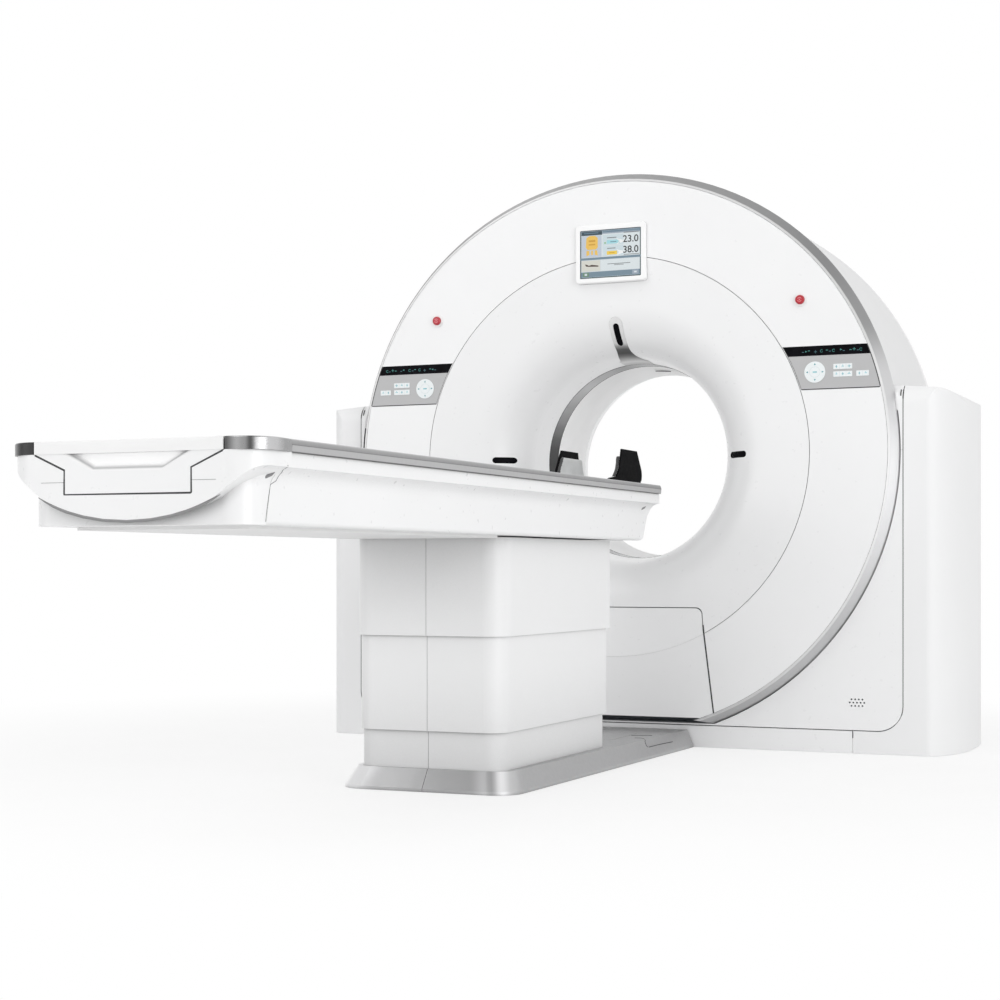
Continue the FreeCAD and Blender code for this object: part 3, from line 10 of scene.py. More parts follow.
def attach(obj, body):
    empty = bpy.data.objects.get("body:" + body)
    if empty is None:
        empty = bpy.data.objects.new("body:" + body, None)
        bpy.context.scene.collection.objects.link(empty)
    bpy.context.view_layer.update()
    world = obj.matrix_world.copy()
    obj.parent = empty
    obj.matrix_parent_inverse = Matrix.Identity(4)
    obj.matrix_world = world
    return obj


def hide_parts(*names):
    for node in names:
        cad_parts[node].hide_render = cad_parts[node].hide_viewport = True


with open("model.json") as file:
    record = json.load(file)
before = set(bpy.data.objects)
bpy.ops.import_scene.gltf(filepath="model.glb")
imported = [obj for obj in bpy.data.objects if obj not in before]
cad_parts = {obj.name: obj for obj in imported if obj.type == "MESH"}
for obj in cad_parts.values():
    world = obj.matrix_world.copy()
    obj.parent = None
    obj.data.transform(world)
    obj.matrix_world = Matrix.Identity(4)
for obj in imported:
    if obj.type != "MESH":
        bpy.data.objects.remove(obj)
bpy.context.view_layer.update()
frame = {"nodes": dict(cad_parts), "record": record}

nodes = frame["nodes"]
print("frame loaded with", len(nodes), "nodes")

mm = 0.001
axisZ = 1.0  # the bore axis above the floor; the gantry's front face is at Y = 0
bothSides = ((1, "right"), (-1, "left"))


def startMaterial(name):
    material = bpy.data.materials.new(name)
    material.use_nodes = True
    tree = material.node_tree
    return material, tree, tree.nodes["Principled BSDF"]


def setInputs(tree, node, inputs):
    # plain values are set, and another node's socket is linked
    for key, value in inputs.items():
        if isinstance(value, bpy.types.NodeSocket):
            tree.links.new(value, node.inputs[key])
        else:
            node.inputs[key].default_value = value


def addNode(tree, kind, inputs, **settings):
    node = tree.nodes.new("ShaderNode" + kind)
    for name, value in settings.items():
        setattr(node, name, value)
    setInputs(tree, node, inputs)
    return node


def objectPlace(tree):
    return addNode(tree, "TexCoord", {}).outputs["Object"]


def addNoise(tree, scale, detail=2.0, roughness=0.5, stretch=None):
    # noise on object coordinates, in metres, stretched along an axis if asked
    place = objectPlace(tree)
    if stretch:
        place = addNode(tree, "Mapping", {"Vector": place, "Scale": stretch}).outputs["Vector"]
    return addNode(
        tree, "TexNoise",
        {"Vector": place, "Scale": scale, "Detail": detail, "Roughness": roughness},
    )


def addRamp(tree, share, stops, interpolation="LINEAR"):
    # a colour ramp over stops of place and colour
    ramp = addNode(tree, "ValToRGB", {"Fac": share})
    ramp.color_ramp.interpolation = interpolation
    steps = ramp.color_ramp.elements
    for index, (place, colour) in enumerate(stops):
        step = steps[index] if index < 2 else steps.new(place)
        step.position = place
        step.color = (*colour, 1)
    return ramp.outputs["Color"]


def toneBetween(tree, shader, source, colourA, colourB, low=0.35, high=0.65):
    tone = addRamp(tree, source.outputs[0], [(low, colourA), (high, colourB)])
    tree.links.new(tone, shader.inputs["Base Color"])
    return tone


def glossBetween(tree, shader, source, low, high):
    gloss = addNode(
        tree, "MapRange",
        {"Value": source.outputs[0], "From Min": 0.3, "From Max": 0.7, "To Min": low,
         "To Max": high},
    )
    tree.links.new(gloss.outputs["Result"], shader.inputs["Roughness"])


def addBump(tree, shader, source, strength, distance):
    bump = addNode(
        tree, "Bump", {"Height": source.outputs[0], "Strength": strength, "Distance": distance}
    )
    tree.links.new(bump.outputs["Normal"], shader.inputs["Normal"])


def scaled(colour, factor):
    return [min(1.0, c * factor) for c in colour]


def paintHollowShade(tree, shader, colour, reach, floor, ceiling):
    # painted shade in narrow gaps and under overhangs: the base colour falls off where little sky
    # gets in
    sky = addNode(tree, "AmbientOcclusion", {"Distance": reach}, samples=8)
    share = addNode(
        tree, "MapRange",
        {"Value": sky.outputs["AO"], "From Min": floor, "From Max": ceiling, "To Min": 0.04},
    )
    shade = addNode(
        tree, "Mix", {0: share.outputs["Result"], 6: (0.03, 0.03, 0.032, 1), 7: colour},
        data_type="RGBA",
    )
    tree.links.new(shade.outputs[2], shader.inputs["Base Color"])


def addFlakes(tree, colour, share):
    # the fine metal flakes in silver paint
    flakes = addNode(
        tree, "Mix", {0: share, 6: colour, 7: addNoise(tree, 1400, 1).outputs["Color"]},
        data_type="RGBA", blend_type="MULTIPLY",
    )
    return flakes.outputs[2]


def lacquer(name, colour, rough=0.32, coat=0.25, hollowShade=(0.012, 0.1, 0.42)):
    # sprayed lacquer on a moulding: even colour, faint clouds, and painted shade in its joints
    material, tree, shader = startMaterial(name)
    clouds = toneBetween(tree, shader, addNoise(tree, 2.3, 3), scaled(colour, 0.985), colour)
    paintHollowShade(tree, shader, clouds, *hollowShade)
    glossBetween(tree, shader, addNoise(tree, 55, 4), rough - 0.05, rough + 0.05)
    setInputs(tree, shader, {"Coat Weight": coat, "Coat Roughness": 0.15})
    return material


def satinSilver(name, colour, rough=0.34, metal=0.8, flake=0.06):
    # silver paint: a metallic base with fine flakes
    material, tree, shader = startMaterial(name)
    toneBetween(
        tree, shader, addNoise(tree, 1600, 1), scaled(colour, 1 - flake), scaled(colour, 1 + flake)
    )
    glossBetween(tree, shader, addNoise(tree, 60, 3), rough - 0.05, rough + 0.05)
    addBump(tree, shader, addNoise(tree, 500, 2), 0.03, 0.0003)
    shader.inputs["Metallic"].default_value = metal
    return material


def smokedGlass(name, colour):
    # a near-black window with very little shine and faint smears
    material, tree, shader = startMaterial(name)
    toneBetween(tree, shader, addNoise(tree, 30, 3), colour, scaled(colour, 2.2))
    glossBetween(tree, shader, addNoise(tree, 18, 4), 0.22, 0.4)
    shader.inputs["Specular IOR Level"].default_value = 0.03
    return material


def ringPaintedReflection(name, stops, rim, depths, metal=0.75):
    # silver ring with painted reflection and painted shade: its tone runs round the bore axis, and
    # in front of the rim with the depth
    material, tree, shader = startMaterial(name)
    centre = addNode(
        tree, "VectorMath", {0: objectPlace(tree), 1: (0, 0, axisZ)}, operation="SUBTRACT"
    )
    parts = addNode(tree, "SeparateXYZ", {"Vector": centre.outputs["Vector"]}).outputs
    down = addNode(tree, "Math", {0: parts["Z"], 1: -1}, operation="MULTIPLY")
    # the angle from straight down, either way round
    turn = addNode(tree, "Math", {0: parts["X"], 1: down.outputs[0]}, operation="ARCTAN2")
    share = addNode(
        tree, "MapRange", {"Value": turn.outputs[0], "From Min": -math.pi, "From Max": math.pi}
    )
    places = sorted((((angle + 270) % 360) / 360, tone) for angle, tone in stops)
    top = (places[0][1] + places[-1][1]) / 2
    places = [(0.0, top), *places, (1.0, top)]
    paintedSheen = addRamp(
        tree, share.outputs["Result"],
        [(place, (tone, tone, tone * 1.01)) for place, tone in places], "EASE",
    )
    # painted highlight and shade that run with the depth, in front of the rim
    depth = addNode(
        tree, "MapRange",
        {"Value": parts["Y"], "From Min": rim[0], "From Max": rim[1], "To Min": rim[2],
         "To Max": 0},
    )
    far = depths[-1][0]
    near = addNode(tree, "MapRange", {"Value": parts["Y"], "From Max": far})
    front = addRamp(
        tree, near.outputs["Result"], [(place / far, (tone, tone, tone)) for place, tone in depths]
    )
    mixed = addNode(
        tree, "Mix", {0: depth.outputs["Result"], 6: paintedSheen, 7: front}, data_type="RGBA"
    )
    tree.links.new(addFlakes(tree, mixed.outputs[2], 0.12), shader.inputs["Base Color"])
    rough, specular = (0.35, 0.5) if metal > 0.5 else (0.6, 0.08)
    glossBetween(tree, shader, addNoise(tree, 60, 3), rough - 0.05, rough + 0.05)
    setInputs(tree, shader, {"Metallic": metal, "Specular IOR Level": specular})
    return material


def silverPaintedHighlights(name, front, pull, stops, rough=0.25, metal=0.8):
    # silver with painted highlights and reflections, whose tone runs across the front and on round
    # both corners, in metres, or up its height if it has no pull; painted shade darkens its gaps
    material, tree, shader = startMaterial(name)
    parts = addNode(tree, "SeparateXYZ", {"Vector": objectPlace(tree)}).outputs
    along = parts["Z"]
    if pull:
        back = addNode(
            tree, "Math", {0: parts["Y"], 1: pull, 2: -front * pull}, operation="MULTIPLY_ADD"
        )
        hand = addNode(tree, "Math", {0: parts["X"]}, operation="SIGN")
        along = addNode(
            tree, "Math", {0: hand.outputs[0], 1: back.outputs[0], 2: parts["X"]},
            operation="MULTIPLY_ADD",
        ).outputs[0]
    low, high = stops[0][0], stops[-1][0]
    share = addNode(tree, "MapRange", {"Value": along, "From Min": low, "From Max": high})
    places = [((place - low) / (high - low), tone) for place, tone in stops]
    paintedSheen = addRamp(
        tree, share.outputs["Result"],
        [(place, (tone, tone, min(1, tone * 1.01))) for place, tone in places], "EASE",
    )
    paintHollowShade(tree, shader, addFlakes(tree, paintedSheen, 0.1), 0.012, 0.2, 0.8)
    glossBetween(tree, shader, addNoise(tree, 90, 3), rough - 0.05, rough + 0.06)
    shader.inputs["Metallic"].default_value = metal
    return material


def grainedPlastic(name, colour, rough=0.5, grain=0.15, scale=900):
    material, tree, shader = startMaterial(name)
    toneBetween(tree, shader, addNoise(tree, 6, 3), scaled(colour, 0.94), colour)
    glossBetween(tree, shader, addNoise(tree, 80, 3), rough - 0.06, rough + 0.06)
    addBump(tree, shader, addNoise(tree, scale, 2), grain, 0.0005)
    return material


def turnedMetal(name, colour, rough=0.3, stretch=(40, 900, 40)):
    material, tree, shader = startMaterial(name)
    lines = addNoise(tree, 1.0, 3, 0.6, stretch)
    toneBetween(tree, shader, lines, scaled(colour, 0.85), colour)
    glossBetween(tree, shader, lines, rough - 0.08, rough + 0.1)
    shader.inputs["Metallic"].default_value = 1.0
    return material


def litInk(name, colour, glow=0.3, pitch=0.7):
    # a lit screen colour, with the fine raster of its pixels, whose pitch is in mm
    material, tree, shader = startMaterial(name)
    place, wavePitch = objectPlace(tree), 0.314  # the wave's pitch at a scale of 1
    rasters = [
        addNode(
            tree, "TexWave", {"Vector": place, "Scale": wavePitch / (pitch * mm)},
            bands_direction=direction,
        ).outputs["Fac"]
        for direction in "XZ"
    ]
    both = addNode(tree, "Math", dict(enumerate(rasters)), operation="ADD")
    tone = toneBetween(tree, shader, both, scaled(colour, 0.5), scaled(colour, 0.6), 0.2, 0.9)
    setInputs(
        tree, shader, {"Emission Color": tone, "Emission Strength": glow * 2, "Roughness": 0.35}
    )
    return material


def printedInk(name, colour, rough=0.4):
    # screen-printed ink: slightly uneven, with the weave of the printing screen
    material, tree, shader = startMaterial(name)
    toneBetween(tree, shader, addNoise(tree, 900, 2), scaled(colour, 0.88), colour)
    glossBetween(tree, shader, addNoise(tree, 300, 2), rough - 0.05, rough + 0.08)
    addBump(tree, shader, addNoise(tree, 2500, 1), 0.1, 0.0001)
    return material


def foamVinyl(name, colour):
    # thin vinyl on foam: fine leather grain over slow wrinkles
    material, tree, shader = startMaterial(name)
    toneBetween(tree, shader, addNoise(tree, 14, 4), scaled(colour, 0.86), colour)
    glossBetween(tree, shader, addNoise(tree, 90, 3), 0.5, 0.68)
    cells = addNode(
        tree, "TexVoronoi", {"Vector": objectPlace(tree), "Scale": 620}, feature="DISTANCE_TO_EDGE"
    )
    addBump(tree, shader, cells, 0.35, 0.0006)
    shader.inputs["Sheen Weight"].default_value = 0.15
    return material


white = (0.86, 0.862, 0.866)
finishes = {
    "ring_silver": ringPaintedReflection(
        "ringPaintedReflection",  # degrees round from the right, tone of the painted reflection and shade
        [(-68, 0.5), (-40, 0.62), (-5, 1.0), (14, 0.66), (27, 0.32), (41, 0.25), (58, 0.28),
         (85, 0.3), (112, 0.34), (130, 0.16), (165, 0.12), (200, 0.2), (250, 0.4)],
        (0.003, 0.0045, 0.6), [(0, 0.9), (0.01, 0.91)],
    ),
    "cover_white": lacquer("coverWhite", white),
    "funnel_white": lacquer("funnelWhite", white),
    "service_white": lacquer("serviceWhite", white),
    # painted reflection and shade round the bore band, and along its depth
    "band_silver": ringPaintedReflection(
        "bandSilver",
        [(-85, 0.8), (-40, 0.7), (10, 0.5), (60, 0.6), (82, 0.66), (92, 0.6), (102, 0.47),
         (116, 0.56), (127, 0.64), (135, 0.55), (145, 0.42), (153, 0.32), (159, 0.22),
         (166, 0.13), (172, 0.08), (182, 0.06), (225, 0.15), (262, 0.8)],
        (0.3, 0.312, 1.0),
        [(0, 0.84), (0.06, 0.8), (0.092, 0.72), (0.106, 0.33),
         (0.12, 0.13), (0.145, 0.1), (0.168, 0.2), (0.21, 0.48), (0.255, 0.8), (0.31, 0.6)],
        0.1,
    ),
    "liner_white": grainedPlastic("linerWhite", (0.93, 0.93, 0.93)),
    "drum_white": lacquer("drumWhite", (0.78, 0.782, 0.786), 0.5, 0.0),
    "rear_white": lacquer("rearWhite", white),
    "surround_white": lacquer("surroundWhite", white),
    "side_white": lacquer("sideWhite", (0.84, 0.842, 0.846), 0.55, 0.0),
    "skirt_white": lacquer("skirtWhite", white),
    "bezel_white": lacquer("bezelWhite", (0.9, 0.9, 0.9)),
    "screen_glass": lacquer("screenGlass", (0.03, 0.06, 0.07), 0.12, 0.5),
    "panel_silver": satinSilver("panelSilver", (0.47, 0.47, 0.475), 0.5, 0.15, 0.03),
    "status_black": smokedGlass("statusBlack", (0.003, 0.003, 0.004)),
    "collar_white": lacquer("collarWhite", (0.88, 0.87, 0.87)),
    "stop_red": lacquer("stopRed", (0.5, 0.015, 0.03), 0.35),
    "window_dark": smokedGlass("windowDark", (0.002, 0.002, 0.003)),
    "frame_grey": grainedPlastic("framePaint", (0.2, 0.22, 0.25), 0.5, 0.3, 500),
    "bearing_steel": turnedMetal("bearingSteel", (0.55, 0.55, 0.55)),
    "rotor_aluminium": turnedMetal("rotorAluminium", (0.7, 0.7, 0.71), 0.4),
    "slip_brass": turnedMetal("slipBrass", (0.65, 0.48, 0.22)),
    "tube_metal": grainedPlastic("tubeHousing", (0.45, 0.46, 0.48), 0.45, 0.3, 400),
    "supply_metal": grainedPlastic("supplyHousing", (0.3, 0.32, 0.34), 0.45, 0.2, 400),
    "belt_rubber": grainedPlastic("beltRubber", (0.02, 0.02, 0.02), 0.6, 0.4, 700),
    "motor_metal": grainedPlastic("motorCasting", (0.12, 0.14, 0.17), 0.5, 0.5, 260),
    "pulley_aluminium": turnedMetal("pulleyAluminium", (0.6, 0.6, 0.61)),
    # painted highlights: a lit left end and two bright streaks round the front right corner
    "base_silver": silverPaintedHighlights(
        "baseSilver", -1.53, 0.5,
        [(-1.2, 0.45), (-0.34, 0.7), (-0.27, 1.0), (-0.22, 0.75), (-0.13, 0.46), (0.03, 0.4),
         (0.13, 0.42), (0.175, 0.62), (0.195, 0.44), (0.225, 0.85), (0.26, 0.55), (0.3, 0.45),
         (1.2, 0.5)],
        0.38, 0.6,
    ),
    # painted shade: a broad darkening where the table overhangs the column
    "column_white": lacquer(
        "columnWhite", (0.84, 0.842, 0.845), 0.42, 0.1, (0.35, -0.55, 0.97)
    ),
    "lift_steel": turnedMetal("liftSteel", (0.5, 0.51, 0.52), 0.4, (60, 60, 900)),
    # painted shade in the table's side cove and under the foot cover's lip
    "table_white": lacquer("tableWhite", white, hollowShade=(0.05, 0.0, 0.86)),
    "foot_white": lacquer("footWhite", white, hollowShade=(0.05, 0.0, 0.86)),
    "channel_aluminium": turnedMetal("channelAluminium", (0.5, 0.5, 0.5), 0.4, (700, 10, 700)),
    "pan_white": lacquer("panWhite", (0.8, 0.8, 0.8), 0.45, 0.05),
    # painted shade and highlight in stripes up the rail's height
    "rail_silver": silverPaintedHighlights(
        "railSilver", 0, 0,
        [(0.851, 0.12), (0.8535, 0.5), (0.8645, 0.5), (0.866, 0.22), (0.868, 0.32), (0.874, 0.38),
         (0.878, 0.6)],
        0.4, 0.7,
    ),
    # painted reflections: dark and bright bands across the trims and round their corners
    "trim_silver": silverPaintedHighlights(
        "trimSilver", -2.988, 1.0,
        [(-0.5, 0.35), (-0.34, 0.45), (-0.31, 0.2), (-0.27, 0.05), (-0.23, 0.04), (0.22, 0.06),
         (0.236, 0.09), (0.262, 0.42), (0.28, 0.33), (0.298, 0.09), (0.318, 0.32), (0.335, 0.52),
         (0.375, 0.58), (0.42, 0.36), (0.5, 0.38)],
        0.3, 0.9,
    ),
    "cradle_white": lacquer("cradleWhite", (0.87, 0.87, 0.87), 0.38, 0.1),
    "carriage_white": lacquer("carriageWhite", white),
    "holder_black": grainedPlastic("holderBlack", (0.006, 0.006, 0.0065), 0.6, 0.2, 700),
    "holder_grey": grainedPlastic("holderGrey", (0.5, 0.51, 0.51), 0.65, 0.3, 500),
}
holderShader = finishes["holder_black"].node_tree.nodes["Principled BSDF"]
holderShader.inputs["Specular IOR Level"].default_value = 0.02
for entry in frame["record"]["subparts"]:
    mesh = nodes[entry["node"]].data
    mesh.materials.clear()
    mesh.materials.append(finishes[entry["material_slot"]])
print("materials on all nodes")


def placePiece(name, mesh, body):
    piece = bpy.data.objects.new(name, mesh)
    bpy.context.collection.objects.link(piece)
    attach(piece, body)
    return piece


def finishPiece(name, bm, paints, body, smooth=None):
    # turns the bmesh into a piece that rides on a body and takes its materials
    bmesh.ops.recalc_face_normals(bm, faces=bm.faces[:])
    mesh = bpy.data.meshes.new(name)
    bm.to_mesh(mesh)
    bm.free()
    for paint in paints:
        mesh.materials.append(paint)
    if smooth:
        mesh.shade_smooth()
        mesh.set_sharp_from_angle(angle=math.radians(smooth))
    return placePiece(name, mesh, body)


def meshOf(curve):
    # a curve's mesh, by way of a passing object
    holder = bpy.data.objects.new(curve.name, curve)
    bpy.context.collection.objects.link(holder)
    bpy.context.view_layer.update()
    mesh = bpy.data.meshes.new_from_object(holder)
    bpy.data.objects.remove(holder)
    return mesh


def startFromNode(name):
    # a welded copy of a CAD node
    bm = bmesh.new()
    bm.from_mesh(nodes[name].data)
    bmesh.ops.remove_doubles(bm, verts=bm.verts[:], dist=0.01 * mm)
    return bm


def cutAway(bm, point, normal):
    # clears what lies beyond a plane and gives back the edges of the cut
    cut = bmesh.ops.bisect_plane(
        bm, geom=bm.verts[:] + bm.edges[:] + bm.faces[:], plane_co=point, plane_no=normal,
        clear_outer=True,
    )["geom_cut"]
    return [e for e in cut if isinstance(e, bmesh.types.BMEdge)]


def pullFaces(bm, faces):
    # extrudes faces where they are and gives back the new vertices, ready to move
    made = bmesh.ops.extrude_face_region(bm, geom=faces)["geom"]
    return [v for v in made if isinstance(v, bmesh.types.BMVert)]


def roundEdges(bm, edges, radius, segments):
    bmesh.ops.bevel(
        bm, geom=edges, offset=radius, segments=segments, profile=0.5, affect="EDGES", material=-1
    )


def paintFaces(verts, paint):
    for v in verts:
        for face in v.link_faces:
            face.material_index = paint


def addTile(bm, x0, x1, z0, z1, front, thick, paint=0, corner=0.0):
    # a flat tile that faces the front, with its corners rounded off if asked
    place = Matrix.Translation(((x0 + x1) / 2, front + thick / 2, (z0 + z1) / 2))
    size = Matrix.Diagonal((abs(x1 - x0), thick, abs(z1 - z0), 1))
    verts = bmesh.ops.create_cube(bm, size=1, matrix=place @ size)["verts"]
    paintFaces(verts, paint)
    if corner:
        edges = dict.fromkeys(e for v in verts for e in v.link_edges)
        edges = [e for e in edges if abs(e.verts[0].co.y - e.verts[1].co.y) > thick / 2]
        roundEdges(bm, edges, corner, 4)


def addMark(bm, x, z, halfX, halfZ, front, thick, paint):
    addTile(bm, x - halfX, x + halfX, z - halfZ, z + halfZ, front, thick, paint)


def addPlate(bm, points, front, thick, paint=0):
    # a flat plate with any outline, as seen from the front
    face = bm.faces.new([bm.verts.new((x, front, z)) for x, z in points])
    face.material_index = paint
    bmesh.ops.translate(bm, verts=pullFaces(bm, [face]), vec=(0, thick, 0))


def addDisc(bm, x, z, radius, front, thick, paint=0, segments=40):
    place = Matrix.Translation((x, front + thick / 2, z)) @ Matrix.Rotation(math.pi / 2, 4, "X")
    verts = bmesh.ops.create_cone(
        bm, cap_ends=True, segments=segments, radius1=radius, radius2=radius, depth=thick,
        matrix=place,
    )["verts"]
    paintFaces(verts, paint)


def addOval(bm, reach, half):
    # a flat oval about the origin: a circle pulled apart along X
    for v in bmesh.ops.create_circle(bm, cap_ends=True, segments=28, radius=half)["verts"]:
        if abs(v.co.x) > 1e-6:
            v.co.x += math.copysign(reach - half, v.co.x)


def addArc(bm, centre, radius, width, front, thick, start, turn, steps, paint=0):
    # a flat arc in the front plane: degrees counter-clockwise from +X, as seen from the front
    cx, cz = centre
    inner, outer = cx + radius - width / 2, cx + radius + width / 2
    corners = [(inner, front), (outer, front), (outer, front + thick), (inner, front + thick)]
    face = bm.faces.new([bm.verts.new((x, y, cz)) for x, y in corners])
    face.material_index = paint
    bmesh.ops.rotate(
        bm, verts=face.verts[:], cent=(cx, 0, cz),
        matrix=Matrix.Rotation(math.radians(start), 3, (0, -1, 0)),
    )
    full = abs(turn) >= 360
    bmesh.ops.spin(
        bm, geom=[face, *face.edges, *face.verts], cent=(cx, 0, cz), axis=(0, -1, 0),
        angle=math.radians(turn), steps=steps, use_merge=full,
    )
    if full and face.is_valid:
        bm.faces.remove(face)


def aside(x, z, degrees, reach):
    # the point that far from (x, z), counter-clockwise from +X as seen from the front
    a = math.radians(degrees)
    return x + math.cos(a) * reach, z + math.sin(a) * reach


def onArc(radius, height):
    # how far out an arc about the bore axis is at a height above it
    return math.sqrt(radius * radius - height * height)


inkThick = 0.08 * mm


def addArrow(bm, x, z, turn, size, front, paint):
    # a small triangle that points outwards at that many degrees
    corners = ((0, 1.0), (130, 0.9), (230, 0.9))
    points = [aside(x, z, turn + angle, size * reach) for angle, reach in corners]
    addPlate(bm, points, front, inkThick, paint)


def addWords(name, words, height, x, z, front, paint, body):
    # a readout: text made a mesh first, then stood upright in its place
    curve = bpy.data.curves.new(name + "Text", "FONT")
    curve.body = words
    curve.size = height / 0.72  # a digit's share of the type size
    curve.extrude = 0.1 * mm
    curve.offset = 0.35 * mm  # a bolder stroke
    curve.align_x = "RIGHT"
    mesh = meshOf(curve)
    mesh.transform(Matrix.Translation((x, front, z)) @ Matrix.Rotation(math.pi / 2, 4, "X"))
    mesh.materials.clear()
    mesh.materials.append(paint)
    mesh.name = name
    placePiece(name, mesh, body)


# the display: a lit picture with generic blocks and two readouts
screen = {
    "left": -110.0, "right": 110.0, "low": 620.0, "high": 785.0, "face": -10.15, "thick": 0.1,
    "step": 0.12, "digits": 24.0, "digitsEnd": 0.965, "digitsLayer": 4,
    "tiles": [  # across and down as fractions of the screen, layer, ink
        (0.000, 1.000, 0.000, 1.000, 0, "edgeTeal"),
        (0.014, 0.986, 0.018, 0.982, 1, "paleGrey"),
        (0.012, 0.988, 0.010, 0.085, 2, "bandLilac"),
        (0.020, 0.362, 0.020, 0.100, 3, "headNavy"),
        (0.060, 0.300, 0.045, 0.062, 4, "markBlue"),
        (0.372, 0.988, 0.020, 0.060, 3, "bandSteel"),
        (0.430, 0.700, 0.034, 0.046, 4, "markBlue"),
        (0.720, 0.972, 0.075, 0.092, 4, "markGrey"),
        (0.020, 0.350, 0.108, 0.560, 2, "cellLilac"),
        (0.366, 0.980, 0.100, 0.560, 2, "cellPale"),
        (0.375, 0.715, 0.110, 0.330, 3, "cellBlue"),
        (0.375, 0.715, 0.345, 0.550, 3, "cellBlue"),
        (0.445, 0.600, 0.165, 0.184, 4, "markGrey"),
        (0.445, 0.585, 0.388, 0.406, 4, "markGrey"),
        (0.398, 0.425, 0.262, 0.296, 4, "tagGreen"),
        (0.440, 0.655, 0.225, 0.300, 4, "tagCyan"),
        (0.440, 0.610, 0.455, 0.530, 4, "tagYellow"),
        (0.480, 0.570, 0.484, 0.500, 5, "tagAmber"),
        (0.500, 0.600, 0.256, 0.270, 5, "markBlue"),
        (0.720, 0.975, 0.540, 0.553, 4, "markGrey"),
        (0.000, 1.000, 0.570, 0.618, 3, "bandSteel"),
        (0.020, 0.330, 0.630, 0.855, 2, "cellSand"),
        (0.345, 0.980, 0.630, 0.855, 2, "cellPale"),
        (0.450, 0.830, 0.716, 0.730, 3, "markGrey"),
        (0.560, 0.720, 0.742, 0.754, 3, "markGrey"),
        (0.012, 0.988, 0.868, 0.978, 2, "bandSteel"),
        (0.040, 0.145, 0.878, 0.965, 3, "footGreen"),
        (0.070, 0.112, 0.900, 0.942, 4, "paleGrey"),
        (0.860, 0.965, 0.878, 0.965, 3, "bandLilac"),
        (0.892, 0.934, 0.904, 0.938, 4, "paleGrey"),
    ],
    "symbols": [  # a chair, white pointers behind the two tags, a couch: ink, layer, outline
        ("iconGold", 3, [(0.10, 0.15), (0.15, 0.11), (0.24, 0.11), (0.29, 0.16), (0.29, 0.36),
                         (0.26, 0.40), (0.12, 0.40), (0.09, 0.35)]),
        ("iconShade", 4, [(0.14, 0.20), (0.25, 0.20), (0.25, 0.24), (0.14, 0.24)]),
        ("iconShade", 4, [(0.14, 0.28), (0.25, 0.28), (0.25, 0.31), (0.14, 0.31)]),
        ("iconGold", 3, [(0.10, 0.42), (0.15, 0.42), (0.15, 0.51), (0.10, 0.53)]),
        ("iconGold", 3, [(0.18, 0.42), (0.21, 0.42), (0.21, 0.51), (0.18, 0.51)]),
        ("iconGold", 3, [(0.24, 0.42), (0.28, 0.42), (0.29, 0.53), (0.24, 0.51)]),
        ("pointerWhite", 4, [(0.600, 0.20), (0.735, 0.245), (0.735, 0.275), (0.600, 0.32),
                             (0.640, 0.26)]),
        ("pointerWhite", 4, [(0.600, 0.43), (0.735, 0.472), (0.735, 0.502), (0.600, 0.55),
                             (0.640, 0.49)]),
        ("iconBrown", 3, [(0.075, 0.700), (0.110, 0.712), (0.140, 0.735), (0.190, 0.718),
                          (0.300, 0.742), (0.300, 0.766), (0.140, 0.756), (0.095, 0.748)]),
    ],
    "readouts": [("readoutUpper", "23.0", 0.288), ("readoutLower", "38.0", 0.510)],
    "inks": {
        "edgeTeal": (0.03, 0.075, 0.085), "paleGrey": (0.66, 0.72, 0.75),
        "bandLilac": (0.32, 0.38, 0.46), "headNavy": (0.03, 0.06, 0.08),
        "markBlue": (0.12, 0.2, 0.27), "bandSteel": (0.17, 0.25, 0.31),
        "markGrey": (0.2, 0.22, 0.23), "cellLilac": (0.52, 0.58, 0.66),
        "cellPale": (0.7, 0.76, 0.78), "cellBlue": (0.6, 0.7, 0.74),
        "tagGreen": (0.25, 0.5, 0.25), "tagCyan": (0.36, 0.68, 0.74),
        "tagYellow": (0.86, 0.6, 0.08), "tagAmber": (0.6, 0.32, 0.03),
        "cellSand": (0.66, 0.66, 0.6), "footGreen": (0.14, 0.25, 0.17),
        "iconGold": (0.82, 0.52, 0.1), "iconShade": (0.62, 0.33, 0.04),
        "iconBrown": (0.06, 0.035, 0.025), "pointerWhite": (0.86, 0.88, 0.88),
        "digitGrey": (0.012, 0.016, 0.018),
    },
}
inks = {name: litInk(name, colour) for name, colour in screen["inks"].items()}
inkOrder = list(inks)


def onScreen(across, down):
    x = screen["left"] + across * (screen["right"] - screen["left"])
    z = screen["high"] - down * (screen["high"] - screen["low"])
    return x * mm, axisZ + z * mm


def screenLayer(layer):
    return (screen["face"] - layer * screen["step"]) * mm


bm = bmesh.new()
for u0, u1, v0, v1, layer, ink in screen["tiles"]:
    x0, z1 = onScreen(u0, v0)
    x1, z0 = onScreen(u1, v1)
    addTile(bm, x0, x1, z0, z1, screenLayer(layer), screen["thick"] * mm, inkOrder.index(ink))
for ink, layer, points in screen["symbols"]:
    outline = [onScreen(u, v) for u, v in points]
    addPlate(bm, outline, screenLayer(layer), screen["thick"] * mm, inkOrder.index(ink))
finishPiece("screenPicture", bm, list(inks.values()), "gantry")
for name, words, down in screen["readouts"]:
    x, z = onScreen(screen["digitsEnd"], down)
    addWords(
        name, words, screen["digits"] * mm, x, z, screenLayer(screen["digitsLayer"]),
        inks["digitGrey"], "gantry",
    )
print("display picture done")

